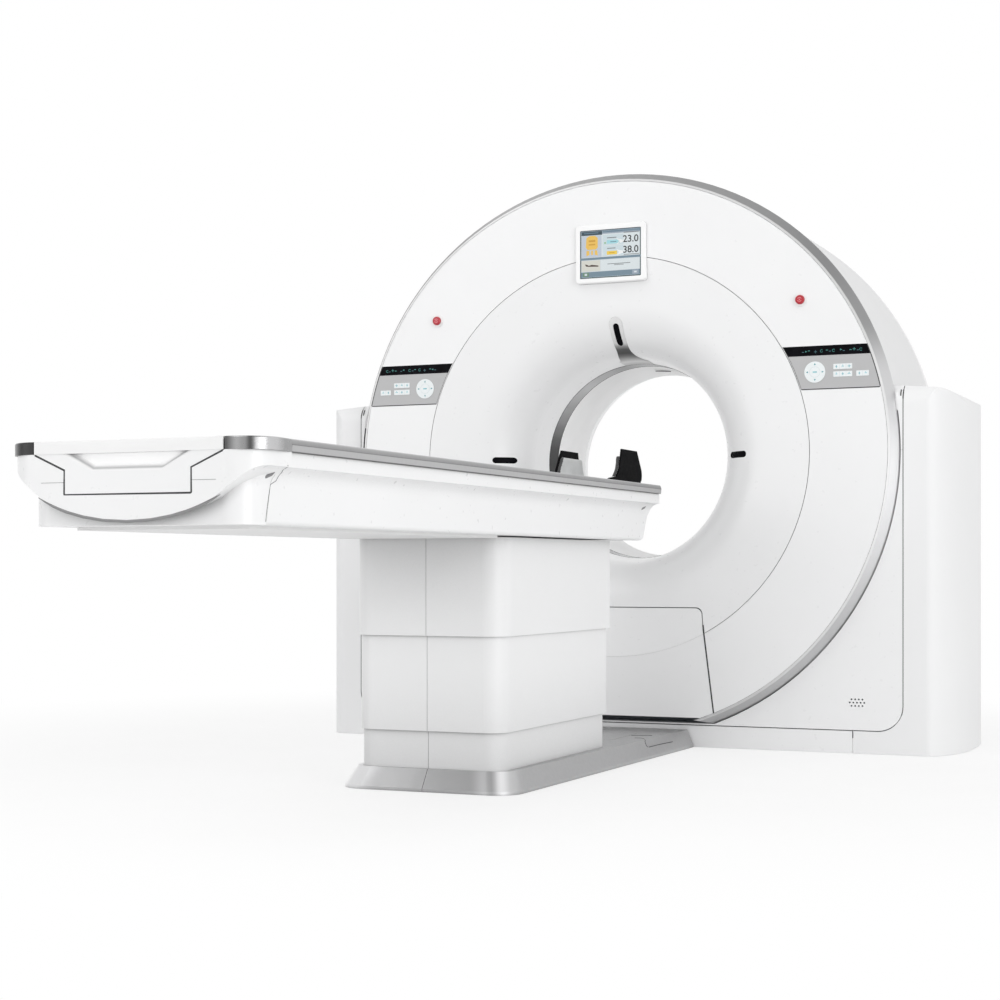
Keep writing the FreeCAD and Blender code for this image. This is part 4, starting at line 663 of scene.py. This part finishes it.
# membrane panels: caps on the keys, the direction pad, glyphs in the strip and dark edges
panel = {
    "discX": 711.0, "discZ": 262.0, "discRadius": 35.2, "ringRadius": 17.5, "ringWide": 0.9,
    "arrowReach": 25.5, "arrow": 4.6, "hub": (7.0, 2.2),
    "keyWidth": 19.5, "keyHeight": 17.0, "keyPitch": 21.0, "keyColumn": 773.0,
    "keys": [(0, 269), (1, 269), (2, 269), (0, 244), (1, 244), (2, 244), (3.6, 244), (4.6, 244)],
    "groups": [(0, 3, 269), (0, 3, 244), (3.6, 2, 244)],
    "margin": 0.5, "round": 2.0, "gap": 1.5, "groove": 0.35,
    "face": -1.25, "cap": 0.2, "glyphLift": 0.1,
    "bar": (3.4, 0.9, 1.0), "stroke": (1.2, 4.6), "keyArrow": (3.6, 2.6),
    "low": 207.0, "high": 349.0, "inner": 697.0, "outer": 948.0,
    "edge": 3.4, "edgeFace": -0.2, "edgeThick": 0.4, "edgeArcs": [(696.4, 1.6), (949.5, 3.2)],
}
panelInks = {
    "capWhite": printedInk("capWhite", (0.86, 0.9, 0.91)),
    "capCyan": printedInk("capCyan", (0.25, 0.56, 0.62)),
    "arrowTeal": printedInk("arrowTeal", (0.10, 0.34, 0.38)),
    "grooveGrey": printedInk("grooveGrey", (0.62, 0.7, 0.72)),
}
capWhite, capCyan, arrowTeal, grooveGrey = range(4)
for side, hand in bothSides:
    bm = bmesh.new()
    face, cap = panel["face"] * mm, panel["cap"] * mm
    glyph = face - panel["glyphLift"] * mm
    x, z = side * panel["discX"] * mm, axisZ + panel["discZ"] * mm
    addDisc(bm, x, z, panel["discRadius"] * mm, face, cap, capWhite, 48)
    addArc(
        bm, (x, z), panel["ringRadius"] * mm, panel["ringWide"] * mm, glyph, inkThick, 0, 360, 40,
        grooveGrey,
    )
    for turn in (0, 90, 180, 270):
        addArrow(
            bm, *aside(x, z, turn, panel["arrowReach"] * mm), turn, panel["arrow"] * mm, glyph,
            arrowTeal,
        )
    halfX, halfZ = panel["hub"]
    addMark(bm, x, z, halfX * mm, halfZ * mm, glyph, inkThick, capCyan)
    margin = panel["margin"]
    for first, count, low in panel["groups"]:  # keys in a row share one cap sheet
        left = panel["keyColumn"] + panel["keyPitch"] * first
        right = left + panel["keyPitch"] * (count - 1) + panel["keyWidth"]
        x0, x1 = sorted((side * left * mm, side * right * mm))
        z0, z1 = axisZ + (low - margin) * mm, axisZ + (low + panel["keyHeight"] + margin) * mm
        addTile(
            bm, x0 - margin * mm, x1 + margin * mm, z0, z1, face, cap, capWhite,
            panel["round"] * mm,
        )
        for split in range(1, count):
            x = side * (left + panel["keyPitch"] * split - panel["gap"] / 2) * mm
            half = panel["groove"] * mm
            addTile(bm, x - half, x + half, z0 + mm, z1 - mm, glyph, inkThick, grooveGrey)
    for number, (column, low) in enumerate(panel["keys"]):
        cx = side * (panel["keyColumn"] + panel["keyPitch"] * column + panel["keyWidth"] / 2) * mm
        cz = axisZ + (low + panel["keyHeight"] / 2) * mm
        short, more, halfZ = panel["bar"]
        addMark(
            bm, cx, cz, (short + more * (number % 3)) * mm, halfZ * mm, glyph, inkThick, capCyan
        )
        if number % 2:
            up, size = panel["keyArrow"]
            addArrow(bm, cx, cz + up * mm, 90, size * mm, glyph, capCyan)
        else:
            halfX, halfZ = panel["stroke"]
            addMark(bm, cx, cz, halfX * mm, halfZ * mm, glyph, inkThick, capCyan)
    finishPiece(f"keyCaps_{hand}", bm, list(panelInks.values()), "gantry")

glyphRow = {
    "face": -0.12, "middle": 331.0, "start": 657.0, "jog": 2.0, "thick": 0.1,
    "bar": (3.4, 1.3), "cross": (5.0, 1.0), "arrow": 4.5, "dial": (4.2, 1.4),
    "marks": [  # from the inner end: how far along, kind
        (14, "bar"), (24, "arrow"), (34, "bar"), (56, "cross"), (76, "dial"), (94, "bar"),
        (104, "bar"), (116, "dial"), (140, "arrow"), (150, "bar"), (172, "bar"), (184, "cross"),
        (196, "bar"), (206, "dial"),
    ],
}
stripInks = [
    litInk("glyphGreen", (0.035, 0.18, 0.16), 0.5, 0.5), litInk("glyphDim", (0.03, 0.1, 0.12)),
]
for side, hand in bothSides:
    bm = bmesh.new()
    front, thick = glyphRow["face"] * mm, glyphRow["thick"] * mm
    for number, (along, kind) in enumerate(glyphRow["marks"]):
        x = side * (glyphRow["start"] + along) * mm
        z = axisZ + (glyphRow["middle"] + (number % 3 - 1) * glyphRow["jog"]) * mm
        paint = 0 if number % 3 else 1
        if kind == "arrow":
            addArrow(bm, x, z, 0 if side > 0 else 180, glyphRow["arrow"] * mm, front, paint)
            continue
        wide, slim = (size * mm for size in glyphRow[kind])
        if kind == "dial":
            addArc(bm, (x, z), wide, slim, front, thick, 30, 300, 14, paint)
            continue
        addMark(bm, x, z, wide, slim, front, thick, paint)
        if kind == "cross":
            addMark(bm, x, z, slim, wide, front - 0.03 * mm, thick, paint)
    finishPiece(f"statusGlyphs_{hand}", bm, stripInks, "gantry")

# dark colour of the real joint and edge lines, also used as painted shade filling gaps
darkJointAndGapShade = grainedPlastic("darkJointAndGapShade", (0.045, 0.046, 0.048), 0.7)
for side, hand in bothSides:
    bm = bmesh.new()
    front, thick = panel["edgeFace"] * mm, panel["edgeThick"] * mm
    low, high = panel["low"], panel["high"]
    x0, x1 = sorted(onArc(panel[end], low) * mm * side for end in ("inner", "outer"))
    z = axisZ + low * mm
    addTile(bm, x0, x1, z - panel["edge"] * mm, z, front, thick)
    for radius, width in panel["edgeArcs"]:
        start = math.degrees(math.asin(low / radius))
        turn = math.degrees(math.asin(high / radius)) - start
        if side < 0:
            start, turn = 180 - start, -turn
        addArc(bm, (0, axisZ), radius * mm, width * mm, front, thick, start, turn, 12)
    finishPiece(f"panelEdge_{hand}", bm, [darkJointAndGapShade], "gantry")
print("control panels done")

# emergency stops: a turned-arrow mark and a dark ring on each button
stop = {
    "x": 662.0, "z": 504.0, "face": -12.12, "thick": 0.2, "hub": 1.9, "ring": (11.6, 0.8),
    "arc": (6.4, 1.5), "turn": 110, "arrow": 2.6,
}
stopInks = [
    printedInk("stopMark", (0.78, 0.34, 0.38)), printedInk("stopShade", (0.16, 0.008, 0.014)),
]
for side, hand in bothSides:
    bm = bmesh.new()
    x, z = side * stop["x"] * mm, axisZ + stop["z"] * mm
    front, thick, turn = stop["face"] * mm, stop["thick"] * mm, stop["turn"]
    radius, width = (size * mm for size in stop["arc"])
    for start in (20, 200):
        addArc(bm, (x, z), radius, width, front, thick, start, turn, 14, 0)
        tip = aside(x, z, start + turn + 8, radius)
        addArrow(bm, *tip, start + turn + 98, stop["arrow"] * mm, front, 0)
    addDisc(bm, x, z, stop["hub"] * mm, front, thick, 0, 20)
    radius, width = (size * mm for size in stop["ring"])
    addArc(bm, (x, z), radius, width, front, thick, 0, 360, 40, 1)
    finishPiece(f"stopMark_{hand}", bm, stopInks, f"stop_{hand}")
print("stop marks done")

# lines, dots and oval inserts, laid on the surfaces that carry them


def surfaceOf(*names):
    # one search tree over these CAD nodes, for laying small pieces on them
    verts, faces = [], []
    for name in names:
        mesh = nodes[name].data
        start = len(verts)
        verts += [v.co.copy() for v in mesh.vertices]
        faces += [[start + i for i in p.vertices] for p in mesh.polygons]
    return BVHTree.FromPolygons(verts, faces)


def layLines(name, paths, width, tree, paint, body, steps=10, fade=0):
    # thin dark strands for sealed joints and for painted shadow: round strands, half sunk in the
    # nearest surface of a tree if there is one; a strand may thin out over its first and last
    # points
    curve = bpy.data.curves.new(name + "Path", "CURVE")
    curve.dimensions = "3D"
    curve.bevel_depth = width / 2
    curve.bevel_resolution = 1
    curve.use_fill_caps = True
    for path in paths:
        points = [Vector(path[0])]
        for start, end in zip(path, path[1:]):
            points += [Vector(start).lerp(Vector(end), k / steps) for k in range(1, steps + 1)]
        spline = curve.splines.new("POLY")
        spline.points.add(len(points) - 1)
        for number, (place, point) in enumerate(zip(spline.points, points)):
            if tree:
                spot, normal = tree.find_nearest(point)[:2]
                point = spot + normal * width * 0.1
            place.co = (*point, 1)
            if fade:
                tip = min(number, len(points) - 1 - number)
                place.radius = min(1.0, 0.15 + 0.85 * tip / fade)
    bm = bmesh.new()
    bm.from_mesh(meshOf(curve))
    finishPiece(name, bm, [paint], body, 60)


joints = {  # in mm for the right side, each also laid on the left; Z from the floor
    "tableSeam": [(315, -2869, 823), (282, -2838, 809), (275, -2846, 792), (275, -2858, 788),
                  (275, -2869, 784), (275, -2877, 758), (275, -2885, 727), (275, -2889, 707)],
    "hatchTop": [(168, -279, 61), (230, -251, 61)],
    "hatchTurn": [(205, -356, 61), (226, -352, 61), (246, -378, 61), (257, -408, 56),
                  (264, -411, 42), (266, -400, 37)],
    "hatchLow": [(266, -392, 37), (268, -283, 37), (270, -157, 35)],
    "footDot": [(262, -2903, 703), (262, -2905, 703)],
    "footSeam": [(153, -2988, 791), (213, -2988, 791)],
}
strands = [  # piece, its joints, width in mm, body, slot, points in each stretch
    ("tableSeam", ["tableSeam"], 1.1, "table", "table_white", 10),
    ("footSeam", ["footSeam"], 0.7, "table", "foot_white", 10),
    ("footDot", ["footDot"], 5.5, "table", "foot_white", 1),
    ("hatchLines", ["hatchTop", "hatchLow"], 2.2, "gantry", "base_silver", 10),
    ("hatchTurn", ["hatchTurn"], 1.6, "gantry", "base_silver", 10),
]
jointTree = surfaceOf(
    "foot_cover", "table_side_cover_right", "table_side_cover_left", "base_cover_right",
    "base_cover_left",
)
for side, hand in bothSides:
    for name, keys, width, body, slotName, steps in strands:
        paths = [[(side * x * mm, y * mm, z * mm) for x, y, z in joints[key]] for key in keys]
        layLines(
            f"{name}_{hand}", paths, width * mm, jointTree, darkJointAndGapShade, body, steps
        )
# painted shadow: a grey strand under the lower edge of the foot cover's lip
lipLine = {
    "edge": [(0, 711), (58, 714), (107, 721.5), (151, 732.5), (184, 744.5), (204, 753.5),
             (222, 763)],
    "wide": 8.0, "depth": -2985.6, "drop": 2.4,
}
half = [(x * mm, lipLine["depth"] * mm, (z - lipLine["drop"]) * mm) for x, z in lipLine["edge"]]
half = [(-x, y, z) for x, y, z in reversed(half[1:])] + half
layLines(
    "lipShade", [half], lipLine["wide"] * mm, None,
    grainedPlastic("lipPaintedShadow", (0.26, 0.26, 0.263), 0.6), "table", 4, 10,
)
print("joint lines done")

insert = {
    "wide": 8.0, "rim": 1.6, "proud": 0.4, "depth": 1.6, "outside": 500.0,
    "places": [  # where, length, Y and Z of the middle in mm, tilt from level seen from the right
        ("foot", 27.0, -2881.0, 802.5, 17.0),
        ("head", 26.0, -478.0, 804.0, 14.0),
    ],
}
insertInks = [
    grainedPlastic("insertGrey", (0.2, 0.2, 0.205), 0.45, 0.2, 900),
    satinSilver("insertRim", (0.13, 0.132, 0.135), 0.35, 0.3),
]
insertTree = surfaceOf(
    "foot_cover", "head_cover", "table_side_cover_right", "table_side_cover_left"
)
for where, long, y, z, tilt in insert["places"]:
    for side, hand in bothSides:
        bm = bmesh.new()
        addOval(bm, long / 2 * mm, insert["wide"] / 2 * mm)
        bmesh.ops.inset_region(bm, faces=bm.faces[:], thickness=insert["rim"] * mm, depth=0)
        for face in bm.faces:
            face.material_index = 1 if len(face.verts) == 4 else 0
        # the circle's X runs along Y and its Y along Z, so that it faces sideways
        stand = Matrix.Translation((side * insert["outside"] * mm, y * mm, z * mm))
        stand @= Matrix.Rotation(math.radians(tilt), 4, "X")
        stand @= Matrix(((0, 0, 1, 0), (1, 0, 0, 0), (0, 1, 0, 0), (0, 0, 0, 1)))
        bmesh.ops.transform(bm, matrix=stand, verts=bm.verts[:])
        inwards = Vector((-side, 0, 0))
        for v in bm.verts:
            spot, normal = insertTree.ray_cast(v.co, inwards)[:2]
            if spot:
                v.co = spot + normal * insert["proud"] * mm
        sunk = pullFaces(bm, bm.faces[:])
        bmesh.ops.translate(bm, verts=sunk, vec=inwards * insert["depth"] * mm)
        finishPiece(f"{where}Insert_{hand}", bm, insertInks, "table")
print("oval inserts done")


def edgeGapShade(name, node, near, far, wide, body, keep, lift=0.15, push=0.0):
    # a dark sheet of painted gap shade that hugs a cover's edge: the band of its wall between two
    # depths, thickened
    bm = startFromNode(node)
    for depth, normal in ((near, (0, -1, 0)), (far, (0, 1, 0))):
        cutAway(bm, (0, depth * mm, 0), normal)
    drop = [
        f for f in bm.faces
        if abs(f.normal.y) > 0.4 or not keep(f.calc_center_median(), f.normal)
    ]
    bmesh.ops.delete(bm, geom=drop, context="FACES")
    bm.normal_update()
    outwards = {v: v.normal.copy() for v in bm.verts}
    for v, normal in outwards.items():
        v.co += normal * lift * mm
    for v in pullFaces(bm, bm.faces[:]):
        nearest = min(outwards, key=lambda o: (o.co - v.co).length_squared)
        v.co += outwards[nearest] * wide * mm
    bmesh.ops.translate(bm, verts=bm.verts[:], vec=(0, -push * mm, 0))
    finishPiece(name, bm, [darkJointAndGapShade], body)


edgeGapShade(
    "serviceGapShade", "service_cover", 1.2, 4.0, 5.0, "gantry",
    lambda c, n: n.z > -0.5 and abs(c.x) < 0.6, push=1.5,
)
edgeGapShade(
    "carriageGapShade", "cradle_carriage", -2987.9, -2984.0, 3.8, "table",
    lambda c, n: c.z < 0.85 and n.z < 0.5, push=0.4,
)
edgeGapShade(
    "surroundGapShade", "front_surround_cover", 44.2, 58.0, 3.4, "gantry",
    lambda c, n: abs(n.x) > 0.9 and abs(c.x) > 0.985, lift=-0.3, push=1.4,
)
print("seals done")

# the cradle's straight end lip, and the soft scoop under it for the fingers
lip = {
    "half": 229.4, "front": -2989.85, "back": -2973.0, "low": 853.0, "high": 877.4, "round": 3.0,
}
bm = bmesh.new()
addTile(
    bm, -lip["half"] * mm, lip["half"] * mm, lip["low"] * mm, lip["high"] * mm,
    lip["front"] * mm, (lip["back"] - lip["front"]) * mm,
)
crest = [e for e in bm.edges if all(v.co.z > (lip["high"] - 1) * mm for v in e.verts)]
roundEdges(bm, crest, lip["round"] * mm, 4)
finishPiece("cradleEndLip", bm, [finishes["cradle_white"]], "cradle", 40)

scoop = {
    "front": -2987.8, "back": -2948.0, "deep": 15.0, "soft": 17.0,
    "across": 48, "up": 14, "sides": [(86, 813.4), (157, 850.8)],
}
# painted shade and glow: grey on the scoop's slopes, white at its back, and a faint glow that
# lights it
scoopPaintedShadeAndGlow, tree, shader = startMaterial("scoopWhitePaintedShade")
parts = addNode(tree, "SeparateXYZ", {"Vector": objectPlace(tree)}).outputs
inset = addNode(
    tree, "MapRange",
    {"Value": parts["Y"], "From Min": scoop["front"] * mm,
     "From Max": (scoop["front"] + scoop["deep"]) * mm},
)
tone = addRamp(
    tree, inset.outputs["Result"],
    [(0.0, (0.84, 0.84, 0.84)), (0.3, (0.4, 0.4, 0.404)), (0.9, (0.93, 0.93, 0.93))],
)
setInputs(
    tree, shader, {"Base Color": tone, "Emission Color": tone, "Emission Strength": 0.12}
)
glossBetween(tree, shader, addNoise(tree, 55, 4), 0.3, 0.42)
bm = bmesh.new()
(low, floorZ), (wide, topZ) = scoop["sides"]
slope = math.hypot(wide - low, topZ - floorZ)
rows = []
for j in range(scoop["up"] + 1):
    z = floorZ + (topZ - floorZ) * j / scoop["up"]
    half = low + (wide - low) * j / scoop["up"]
    row = []
    for i in range(scoop["across"] + 1):
        x = -half + 2 * half * i / scoop["across"]
        share = min((half - abs(x)) * (topZ - floorZ) / slope, z - floorZ) / scoop["soft"]
        share = min(1.0, max(0.0, share))
        inwards = share * share * (3 - 2 * share) * scoop["deep"]
        row.append(bm.verts.new((x * mm, (scoop["front"] + inwards) * mm, z * mm)))
    rows.append(row)
for lower, upper in zip(rows, rows[1:]):
    for i in range(scoop["across"]):
        bm.faces.new([lower[i], lower[i + 1], upper[i + 1], upper[i]])
for v in pullFaces(bm, bm.faces[:]):
    v.co.y = scoop["back"] * mm
finishPiece("handScoop", bm, [scoopPaintedShadeAndGlow], "cradle", 40)
print("cradle end done")

# small caps that close the slot between the drum and the lower front plate's rolled top
cap = {
    "x": (951.0, 989.4), "y": (43.2, 79.4), "z": (1130.0, 1221.2), "roll": 65.2, "depth": 112.0,
    "slant": 967.5,
}
for side, hand in bothSides:
    bm = bmesh.new()
    (x0, x1), (y0, y1), (z0, z1) = cap["x"], cap["y"], cap["z"]
    addTile(bm, x0 * mm, x1 * mm, z0 * mm, z1 * mm, y0 * mm, (cap["depth"] - y0) * mm)
    top = [
        e for e in bm.edges
        if all(abs(v.co.y - y0 * mm) < 1e-6 and abs(v.co.z - z1 * mm) < 1e-6 for v in e.verts)
    ]
    roundEdges(bm, top, cap["roll"] * mm, 10)
    slant = (cap["slant"] * mm, 0, z0 * mm)
    for point, normal in (((0, y1 * mm, 0), (0, 1, 0)), (slant, (-0.984, 0, -0.18))):
        bmesh.ops.contextual_create(bm, geom=cutAway(bm, point, normal))
    if side < 0:
        bmesh.ops.scale(bm, vec=(-1, 1, 1), verts=bm.verts[:])
    finishPiece(
        f"rollCap_{hand}", bm, [finishes["surround_white"]], "gantry", 30
    )
print("roll caps done")

# thin dark lines at both edges of the bore band
bore = {"radius": 350.0, "edges": (310.4, 397.4), "wide": 2.2, "deep": 1.2, "steps": 96}
bm = bmesh.new()
for near in bore["edges"]:
    addArc(
        bm, (0, axisZ), bore["radius"] * mm, bore["deep"] * mm, near * mm, bore["wide"] * mm,
        0, 360, bore["steps"],
    )
finishPiece("bandEdges", bm, [darkJointAndGapShade], "gantry", 40)

# a small dark window in the roof of the liner
roofWindow = {"middle": (19.0, 523.0), "half": 30.0, "wide": 5.0, "radius": 343.4, "deep": 2.0}
bm = bmesh.new()
addOval(bm, roofWindow["half"] * mm, roofWindow["wide"] * mm)
for v in bm.verts:
    x, y = (at * mm + v.co[axis] for axis, at in enumerate(roofWindow["middle"]))
    v.co = (x, y, axisZ + onArc(roofWindow["radius"] * mm, x))
raised = pullFaces(bm, bm.faces[:])
bmesh.ops.translate(bm, verts=raised, vec=(0, 0, roofWindow["deep"] * mm))
finishPiece("roofWindow", bm, [finishes["window_dark"]], "gantry")
print("bore lines and window done")

# the foam pad of the head holder: the trough's own solid, softened and covered in vinyl
foam = {"voxel": 3.0, "rounds": 10, "top": 988.0, "colour": (0.62, 0.63, 0.63)}
bm = startFromNode("head_holder_pad")
bmesh.ops.holes_fill(bm, edges=cutAway(bm, (0, 0, foam["top"] * mm), (0, 0, 1)))
mesh = bpy.data.meshes.new("headPad")
bm.to_mesh(mesh)
bm.free()
raw = bpy.data.objects.new("headPadRaw", mesh)
bpy.context.collection.objects.link(raw)
remesh = raw.modifiers.new("voxels", "REMESH")
remesh.mode = "VOXEL"
remesh.voxel_size = foam["voxel"] * mm
bpy.context.view_layer.update()
depsgraph = bpy.context.evaluated_depsgraph_get()
mesh = bpy.data.meshes.new_from_object(raw.evaluated_get(depsgraph))
bpy.data.objects.remove(raw)
bm = bmesh.new()
bm.from_mesh(mesh)
for _ in range(foam["rounds"]):
    bmesh.ops.smooth_vert(
        bm, verts=bm.verts[:], factor=0.5, use_axis_x=True, use_axis_y=True, use_axis_z=True
    )
bm.normal_update()
for face in bm.faces:
    face.material_index = 1 if face.normal.y < -0.45 else 0  # the binding on the front edge
padInks = [
    foamVinyl("foamVinyl", foam["colour"]), foamVinyl("padBinding", (0.035, 0.035, 0.036)),
]
headPad = finishPiece("headPad", bm, padInks, "cradle", 60)
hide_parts("head_holder_pad")
print("head pad done")

# the room: a pale floor that fades to white, plain lamps and the photo's camera
room = {
    "floorSize": 60, "floorTones": (0.88, 0.9), "worldLight": 0.72, "shadowLift": 0.7,
    "fadeFrom": 1.4, "fadeTo": 3.4,
}

bm = bmesh.new()
bmesh.ops.create_grid(bm, x_segments=1, y_segments=1, size=room["floorSize"])
floorMesh = bpy.data.meshes.new("studioFloor")
bm.to_mesh(floorMesh)
bm.free()
studioFloor = bpy.data.objects.new("studioFloor", floorMesh)
bpy.context.collection.objects.link(studioFloor)
floorMat, tree, shader = startMaterial("floorPaper")
shader.inputs["Roughness"].default_value = 0.9
dark, pale = room["floorTones"]
toneBetween(tree, shader, addNoise(tree, 3, 2), (dark, dark, dark), (pale, pale, pale))
away = addNode(tree, "VectorMath", {0: objectPlace(tree)}, operation="LENGTH")
fade = addNode(
    tree, "MapRange",
    {"Value": away.outputs["Value"], "From Min": room["fadeFrom"], "From Max": room["fadeTo"],
     "To Min": room["shadowLift"], "To Max": 1.0},
    interpolation_type="SMOOTHSTEP",
)
rays = addNode(tree, "LightPath", {}).outputs
seenBy = addNode(
    tree, "Math", {0: rays["Is Camera Ray"], 1: rays["Is Glossy Ray"]}, operation="MAXIMUM"
)
share = addNode(
    tree, "Math", {0: seenBy.outputs[0], 1: fade.outputs["Result"]}, operation="MULTIPLY"
)
glow = addNode(tree, "Emission", {"Color": (1, 1, 1, 1)})
blend = addNode(
    tree, "MixShader",
    {0: share.outputs[0], 1: shader.outputs["BSDF"], 2: glow.outputs["Emission"]},
)
tree.links.new(blend.outputs["Shader"], tree.nodes["Material Output"].inputs["Surface"])
floorMesh.materials.append(floorMat)

world = bpy.data.worlds.new("studio")
bpy.context.scene.world = world
world.use_nodes = True
tree = world.node_tree
tree.nodes.clear()
rays = addNode(tree, "LightPath", {}).outputs
direct = addNode(
    tree, "Math", {0: rays["Is Camera Ray"], 1: rays["Is Glossy Ray"]}, operation="MAXIMUM"
)
anySeen = addNode(
    tree, "Math", {0: direct.outputs[0], 1: rays["Is Transmission Ray"]}, operation="MAXIMUM"
)
seen = addNode(tree, "Background", {"Color": (1, 1, 1, 1), "Strength": 1.0})
lit = addNode(tree, "Background", {"Color": (1, 1, 1, 1), "Strength": room["worldLight"]})
mix = addNode(
    tree, "MixShader",
    {0: anySeen.outputs[0], 1: lit.outputs["Background"], 2: seen.outputs["Background"]},
)
addNode(tree, "OutputWorld", {"Surface": mix.outputs["Shader"]})

lamps = {
    "topPanel": {"at": (-1.5, -4.5, 7.5), "to": (0, -0.8, 0.9), "size": 5.0, "power": 100},
    "frontPanel": {"at": (-5.5, -8.0, 2.6), "to": (0, 0, 1.1), "size": 5.0, "power": 74},
    "sidePanel": {"at": (7.5, -5.5, 2.6), "to": (0, -0.8, 0.8), "size": 5.0, "power": 224},
    "backPanel": {"at": (0.6, 6.0, 1.2), "to": (-0.3, 0.4, 1.0), "size": 2.0, "power": 80},
}
for name, lamp in lamps.items():
    light = bpy.data.lights.new(name, "AREA")
    light.size = lamp["size"]
    light.energy = lamp["power"]
    holder = bpy.data.objects.new(name, light)
    bpy.context.collection.objects.link(holder)
    holder.location = lamp["at"]
    aim = Vector(lamp["to"]) - Vector(lamp["at"])
    holder.rotation_euler = aim.to_track_quat("-Z", "Y").to_euler()
    holder.visible_glossy = name != "backPanel"  # no glare of it along the drum's side

camera = {"at": (2.229, -6.331, 0.611), "turn": 24.62, "lens": 69.49, "shift": (0.0651, 0.0688)}
camData = bpy.data.cameras.new("photoCamera")
camData.lens = camera["lens"]
camData.sensor_width = 36
camData.shift_x, camData.shift_y = camera["shift"]
camObject = bpy.data.objects.new("photoCamera", camData)
bpy.context.collection.objects.link(camObject)
camObject.location = camera["at"]
camObject.rotation_euler = (math.radians(90), 0, math.radians(camera["turn"]))
bpy.context.scene.camera = camObject
bpy.context.scene.view_settings.view_transform = "Standard"
print("room and camera ready")
